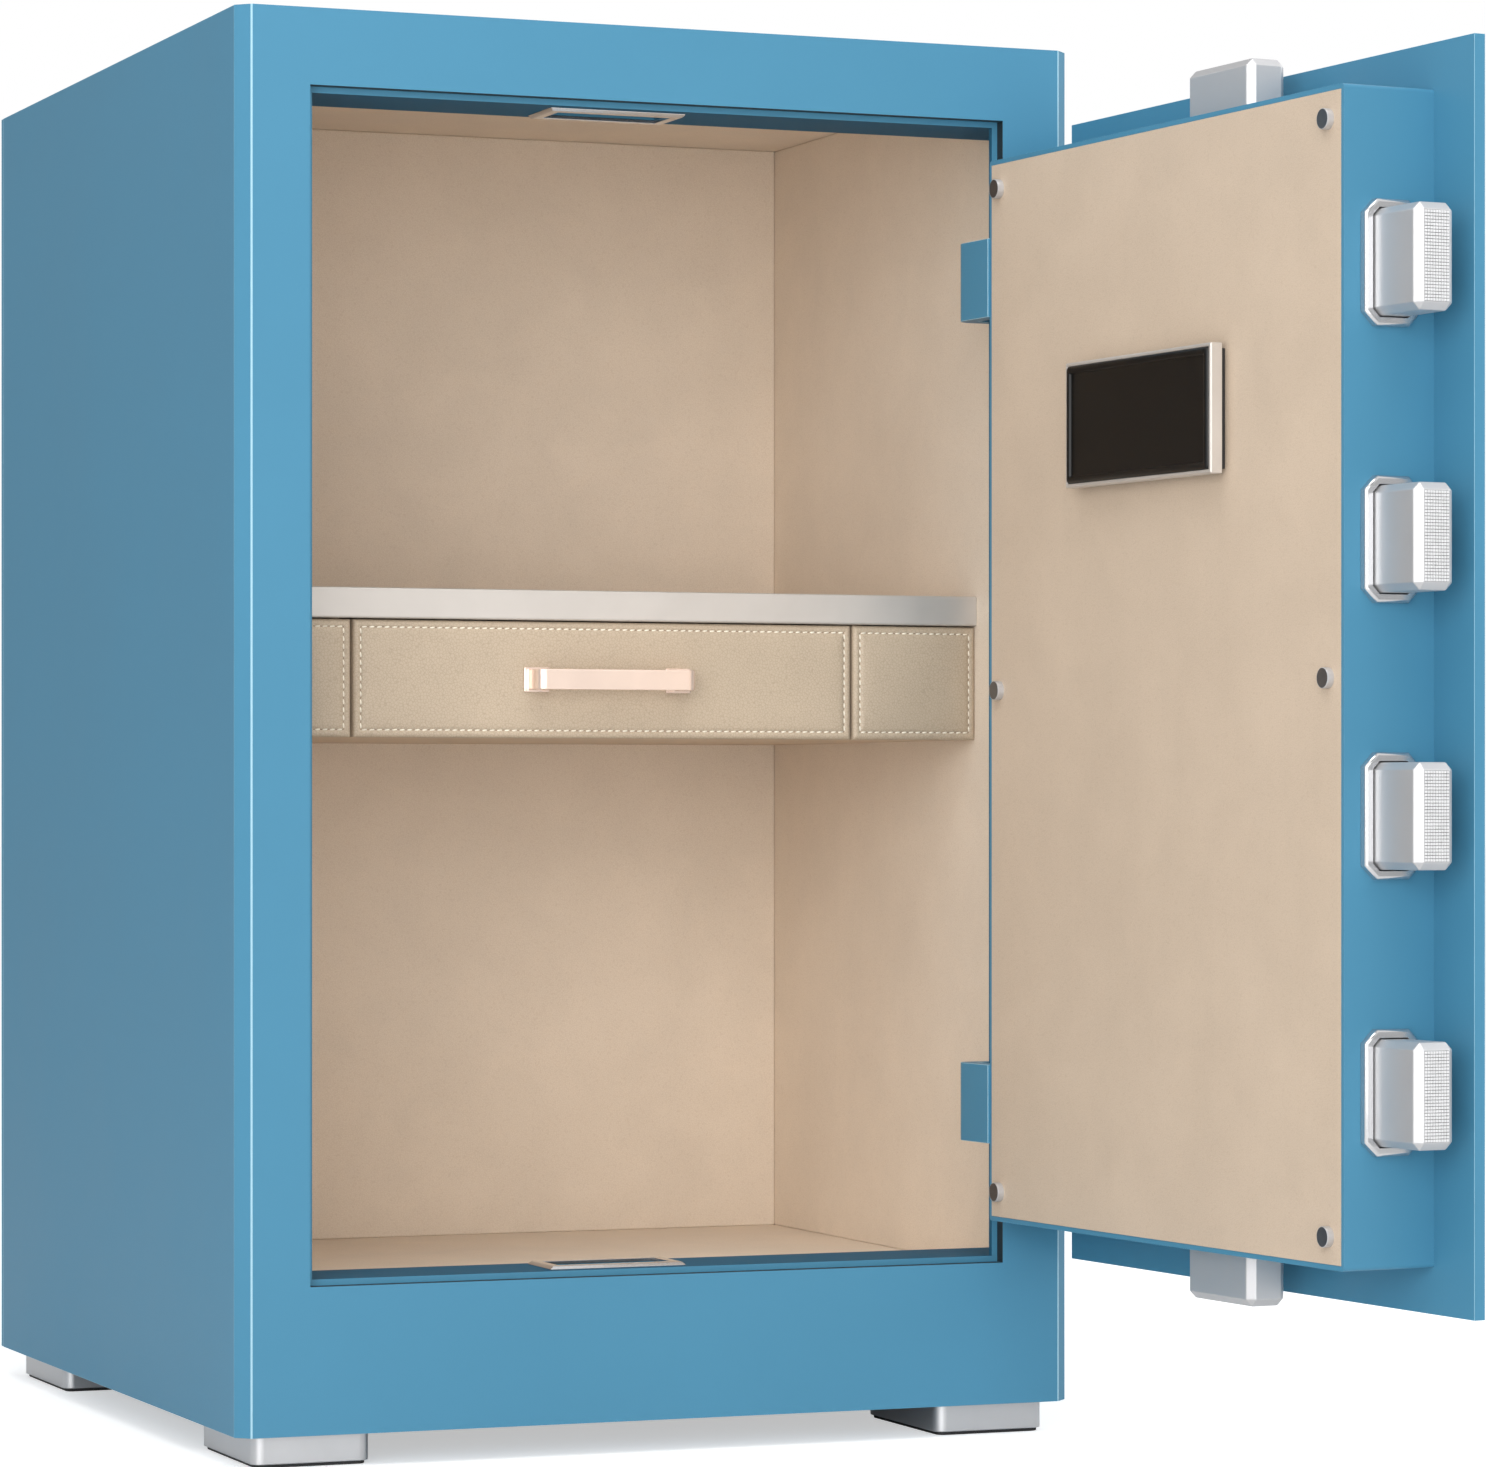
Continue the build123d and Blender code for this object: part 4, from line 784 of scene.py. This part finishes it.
# Each ring of the cover: how far in from its edge, and how far out from its back face.
cover_profile = (
    (0, 0),
    (0, cover_t - 1.2 * MM),
    (0.35 * MM, cover_t - 0.4 * MM),
    (1.0 * MM, cover_t),
    (BORDER_W, cover_t),
    (BORDER_W + 0.3 * MM, cover_t - 0.2 * MM),
    (BORDER_W + 0.6 * MM, cover_t - FIELD_DEEP),
    (BORDER_W + 1.4 * MM, cover_t - FIELD_DEEP),
)
cover_rings = []
for inset, depth in cover_profile:
    corner_r = max(LEAST_CORNER_R, COVER_CORNER_R - inset / 2)
    cover_rings.append(rounded_outline(cover_w - inset, cover_h - inset, corner_r, depth))
points, faces = stacked([ring[::-1] for ring in cover_rings])
middle = Vector(((cover_low.x + cover_high.x) / 2, cover_low.y, (cover_low.z + cover_high.z) / 2))
cover_place = door_turn @ Matrix.Translation(middle)
box_cover = new_piece(
    "battery_box_lid", points, faces, [gloss_black], "door", cover_place, sharp=50
)
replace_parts(box_cover, "battery_box_cover")

# ---- Bolts and their surrounds -------------------------------------------------------------------
# Square bars of satin nickel-plated steel with bevelled edges. The end face of each side bolt is cut
# into small squares. A chrome surround, pressed on, frames each side bolt on the casing.

KNURL_COLUMNS = 9
KNURL_ROWS = 28
KNURL_TALL = 0.35 * MM
KNURL_FOOT = 0.43
KNURL_TOP = 0.31
KNURL_GROUND = 0.02 * MM
KNURL_GROOVE_SHADE = (0.22, 0.22, 0.225, 1)
KNURL_STUD_HIGHLIGHT = (0.80, 0.80, 0.81, 1)
KNURL_MARGIN = 0.3 * MM
BOLT_BEVEL = 3 * MM

for node in ("side_bolts", "top_bolt", "bottom_bolt"):
    finish_node(node, satin_steel)
    soften(node, radius=0.35 * MM)
finish_node("bolt_surrounds", chrome)
soften("bolt_surrounds", radius=0.2 * MM, limit=50)
# The studs take a lighter copy of the nickel, a painted highlight, and the ground between them a
# darker one, painted shade.
knurl_stud_highlight = new_finish(
    "knurl_studs_painted_light", KNURL_STUD_HIGHLIGHT, roughness=0.4, cells=FINE, relief=0.001 * MM, tone=0.03,
    rough_spread=0.03, patches=300.0, Metallic=0.4,
)
knurl_groove_shade = new_finish(
    "knurl_grooves_painted_shade", KNURL_GROOVE_SHADE, roughness=0.5, cells=FINE, relief=0.002 * MM, tone=0.2,
    rough_spread=0.05, patches=300.0, Metallic=0.8,
)


def knurl_grid(lowest, highest):
    """Flat-topped square studs on a ground painted dark as shade, on a bolt's end face."""
    z_low, z_high = lowest.z + BOLT_BEVEL + KNURL_MARGIN, highest.z - BOLT_BEVEL - KNURL_MARGIN
    y_low, y_high = lowest.y + BOLT_BEVEL + KNURL_MARGIN, highest.y - BOLT_BEVEL - KNURL_MARGIN
    ground = lowest.x - KNURL_GROUND
    corners = ((y_low, z_low), (y_low, z_high), (y_high, z_high), (y_high, z_low))
    points = [(ground, y, z) for y, z in corners]
    faces = [(0, 1, 2, 3)]
    pitch_y, pitch_z = (y_high - y_low) / KNURL_COLUMNS, (z_high - z_low) / KNURL_ROWS
    for column in range(KNURL_COLUMNS):
        for row in range(KNURL_ROWS):
            y, z = y_low + (column + 0.5) * pitch_y, z_low + (row + 0.5) * pitch_z
            first = len(points)
            for share, x in ((KNURL_FOOT, ground), (KNURL_TOP, ground - KNURL_TALL)):
                for side_y, side_z in ((-1, -1), (-1, 1), (1, 1), (1, -1)):
                    points.append((x, y + side_y * share * pitch_y, z + side_z * share * pitch_z))
            faces.append(tuple(range(first + 4, first + 8)))
            for i in range(4):
                beside = (i + 1) % 4
                faces.append((first + i, first + beside, first + beside + 4, first + i + 4))
    return points, faces


for number, box in enumerate(solid_boxes("side_bolts", shut), start=1):
    points, faces = knurl_grid(*box)
    name, body = f"side_bolt_{number}_cut_end", "side_bolt_carriage"
    materials = [knurl_stud_highlight, knurl_groove_shade]
    cut_end = new_piece(name, points, faces, materials, body, door_turn)
    cut_end.data.polygons[0].material_index = 1

# ---- Lock works inside the door ------------------------------------------------------------------
# Zinc-plated plates and bars join the bolts to a cam on the handle's spindle. A black motor unit
# raises a pin into the carriage's tab. A hardened plate lies between the lock and the outer plate.

for node in (
    "bolt_carriage",
    "top_bolt_bar",
    "bottom_bolt_bar",
    "cam_plate",
    "handle_spindle",
    "bolt_guides",
    "hard_plate",
    "blocking_pin",
):
    finish_node(node, zinc)
finish_node("lock_motor", matt_black)
for node in ("bolt_carriage", "bolt_guides", "hard_plate", "lock_motor"):
    soften(node, radius=0.3 * MM)

# ---- Outside of the door -------------------------------------------------------------------------
# A satin bar handle on a round rose, a touch keypad with a glass face in a gloss housing, and an
# emergency key lock under a small cover that swings on a pin. All are bolted through the outer plate.

GLASS_BLACK = (0.006, 0.007, 0.008, 1)
LEGEND = (0.62, 0.70, 0.74, 1)
LEGEND_H = 11 * MM
LEGEND_T = 0.05 * MM
KEYS = ("1", "2", "3", "4", "5", "6", "7", "8", "9", "*", "0", "#")
KEY_COLUMNS = 3
KEY_PITCH_X = 24 * MM
KEY_PITCH_Z = 27 * MM

for node in ("handle_bar", "handle_rose", "key_lock_body", "keyhole_cover"):
    finish_node(node, satin_steel)
for node in ("key_plug", "keyhole_cover_pin"):
    finish_node(node, zinc)
finish_node("keypad_housing", gloss_black)
keypad_glass = new_finish(
    "keypad_glass", GLASS_BLACK, roughness=0.08, cells=FINE, relief=0.0004 * MM, tone=0.1,
    rough_spread=0.04, patches=60.0, Coat_Weight=1.0,
)
finish_node("keypad_glass", keypad_glass)
legend = new_finish(
    "keypad_legend", LEGEND, roughness=0.5, cells=FINE, relief=0.002 * MM, tone=0.05,
    rough_spread=0.05, patches=300.0,
)

glass_low, glass_high = solid_boxes("keypad_glass", shut)[0]
glass_middle = (glass_low + glass_high) / 2
legend_shape = bmesh.new()
for number, label in enumerate(KEYS):
    letter = bpy.data.curves.new("key", "FONT")
    letter.body = label
    letter.size = LEGEND_H
    letter.extrude = LEGEND_T / 2
    letter.align_x, letter.align_y = "CENTER", "CENTER"
    holder = bpy.data.objects.new("key", letter)
    bpy.context.collection.objects.link(holder)
    bpy.context.view_layer.update()
    drawn = holder.evaluated_get(bpy.context.evaluated_depsgraph_get()).to_mesh()
    spot = Vector((
        glass_middle.x + (number % KEY_COLUMNS - 1) * KEY_PITCH_X,
        glass_low.y,
        glass_middle.z + (1.5 - number // KEY_COLUMNS) * KEY_PITCH_Z,
    ))
    drawn.transform(Matrix.Translation(spot) @ Matrix.Rotation(math.radians(90), 4, "X"))
    legend_shape.from_mesh(drawn)
    bpy.data.objects.remove(holder)
legend_mesh = bpy.data.meshes.new("keypad_digits")
legend_shape.to_mesh(legend_mesh)
legend_shape.free()
legend_mesh.materials.append(legend)
keypad_digits = bpy.data.objects.new("keypad_digits", legend_mesh)
keypad_digits.matrix_world = door_turn
bpy.context.collection.objects.link(keypad_digits)
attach(keypad_digits, "door")

# ---- Studio --------------------------------------------------------------------------------------
# A plain pale floor that runs out to the horizon, under pale air and four soft rectangular lamps. The
# camera stands in front of the cabinet, to its left and about level with its middle.

FLOOR_R = 30
FLOOR_WHITE = (0.8, 0.8, 0.8, 1)
FLOOR_TEXTURE = (90, 90, 90)
FLOOR_GLOW = 0.5
AIR_LIGHT = (0.55, 0.55, 0.55, 1)
AIR_SEEN = (1, 1, 1, 1)
# Each stop of the mirrored studio: its place along the axis, from -1 to 1, and the brightness there.
MIRRORED_UPWARD = ((-1, 0.5), (-0.05, 0.5), (0.15, 0.6), (0.45, 1), (1, 1))
MIRRORED_SIDEWAYS = ((-1, 0.9), (-0.5, 1), (-0.2, 0.45), (0.1, 0.4), (0.4, 1), (1, 1))
CAMERA_PLACE = (-0.8182, -2.3301, 0.2666)
CAMERA_TURN = math.radians(-21.87)
CAMERA_LENS = 128.0
CAMERA_SHIFT_UP = 0.0455

floor_mesh = bpy.data.meshes.new("studio_floor")
floor_shape = bmesh.new()
bmesh.ops.create_circle(floor_shape, cap_ends=True, segments=96, radius=FLOOR_R)
floor_shape.to_mesh(floor_mesh)
floor_shape.free()
studio_floor = bpy.data.objects.new("studio_floor", floor_mesh)
studio_floor.location.z = cad_box[0][2]
bpy.context.collection.objects.link(studio_floor)
pale_floor = new_finish(
    "pale_studio_floor", FLOOR_WHITE, roughness=0.8, cells=FLOOR_TEXTURE, relief=0.02 * MM,
    tone=0.01, rough_spread=0.05, patches=3.0,
)
floor_tree = pale_floor.node_tree
floor_shader = floor_tree.nodes["Principled BSDF"]
floor_shader.inputs["Emission Color"].default_value = (1, 1, 1, 1)
seen_floor = add_node(floor_tree, "ShaderNodeLightPath")
lit_from_below = add_node(floor_tree, "ShaderNodeMath", {"operation": "MULTIPLY"})
lit_from_below.inputs[1].default_value = FLOOR_GLOW
floor_tree.links.new(seen_floor.outputs["Is Camera Ray"], lit_from_below.inputs[0])
floor_tree.links.new(lit_from_below.outputs["Value"], floor_shader.inputs["Emission Strength"])
floor_mesh.materials.append(pale_floor)

world = bpy.data.worlds.new("studio_air")
world.use_nodes = True
air = world.node_tree
look = add_node(air, "ShaderNodeTexCoord")
split = add_node(air, "ShaderNodeSeparateXYZ")
ray = add_node(air, "ShaderNodeLightPath")
seen = add_node(air, "ShaderNodeMix", {"data_type": "RGBA"})
bright = add_node(air, "ShaderNodeMix", {"data_type": "RGBA"})
bright.inputs["A"].default_value = AIR_LIGHT
bright.inputs["B"].default_value = AIR_SEEN
air.links.new(ray.outputs["Is Camera Ray"], bright.inputs["Factor"])
air.links.new(bright.outputs["Result"], seen.inputs["A"])
air.links.new(look.outputs["Generated"], split.inputs["Vector"])


def brightness_ramp(axis, stops):
    """Brightness of the mirrored studio along one axis of the direction."""
    span = add_node(air, "ShaderNodeMapRange", inputs={"From Min": -1, "From Max": 1})
    ramp = add_node(air, "ShaderNodeValToRGB")
    ramp.color_ramp.interpolation = "EASE"
    while len(ramp.color_ramp.elements) < len(stops):
        ramp.color_ramp.elements.new(0.5)
    for element, (place, level) in zip(ramp.color_ramp.elements, stops):
        element.position = (place + 1) / 2
        element.color = (level, level, level, 1)
    air.links.new(split.outputs[axis], span.inputs["Value"])
    air.links.new(span.outputs["Result"], ramp.inputs["Fac"])
    return ramp.outputs["Color"]


mirrored = add_node(air, "ShaderNodeMix", {"data_type": "RGBA", "blend_type": "MULTIPLY"})
mirrored.inputs["Factor"].default_value = 1
air.links.new(brightness_ramp("Z", MIRRORED_UPWARD), mirrored.inputs["A"])
air.links.new(brightness_ramp("X", MIRRORED_SIDEWAYS), mirrored.inputs["B"])
air.links.new(ray.outputs["Is Glossy Ray"], seen.inputs["Factor"])
air.links.new(mirrored.outputs["Result"], seen.inputs["B"])
air.links.new(seen.outputs["Result"], air.nodes["Background"].inputs["Color"])
air.nodes["Background"].inputs["Strength"].default_value = 1.0
bpy.context.scene.world = world
bpy.context.scene.view_settings.view_transform = "Standard"


def add_lamp(name, place, aim_height, width, height, power):
    """A rectangular soft lamp, aimed at a height on the cabinet's middle line."""
    lamp = bpy.data.lights.new(name, "AREA")
    lamp.shape = "RECTANGLE"
    lamp.size = width
    lamp.size_y = height
    lamp.energy = power
    holder = bpy.data.objects.new(name, lamp)
    holder.location = place
    towards = Vector((0, 0, aim_height)) - Vector(place)
    holder.rotation_euler = towards.to_track_quat("-Z", "Y").to_euler()
    bpy.context.collection.objects.link(holder)


add_lamp("overhead_lamp", place=(-0.3, -1.0, 2.2), aim_height=0.35, width=1.8, height=1.6, power=26)
add_lamp("front_fill", place=(-1.6, -2.5, 0.75), aim_height=0.3, width=2.2, height=1.8, power=46)
add_lamp("front_soft_box", place=(-0.1, -3.0, 0.5), aim_height=0.3, width=1.4, height=1.2, power=10)
add_lamp("right_soft_box", place=(2.4, -0.5, 1.4), aim_height=0.3, width=1.8, height=1.6, power=24)

camera = bpy.data.objects.new("camera", bpy.data.cameras.new("camera"))
camera.location = CAMERA_PLACE
camera.rotation_euler = (math.radians(90), 0, CAMERA_TURN)
camera.data.lens = CAMERA_LENS
camera.data.shift_y = CAMERA_SHIFT_UP
camera.data.clip_end = 100
bpy.context.collection.objects.link(camera)
bpy.context.scene.camera = camera
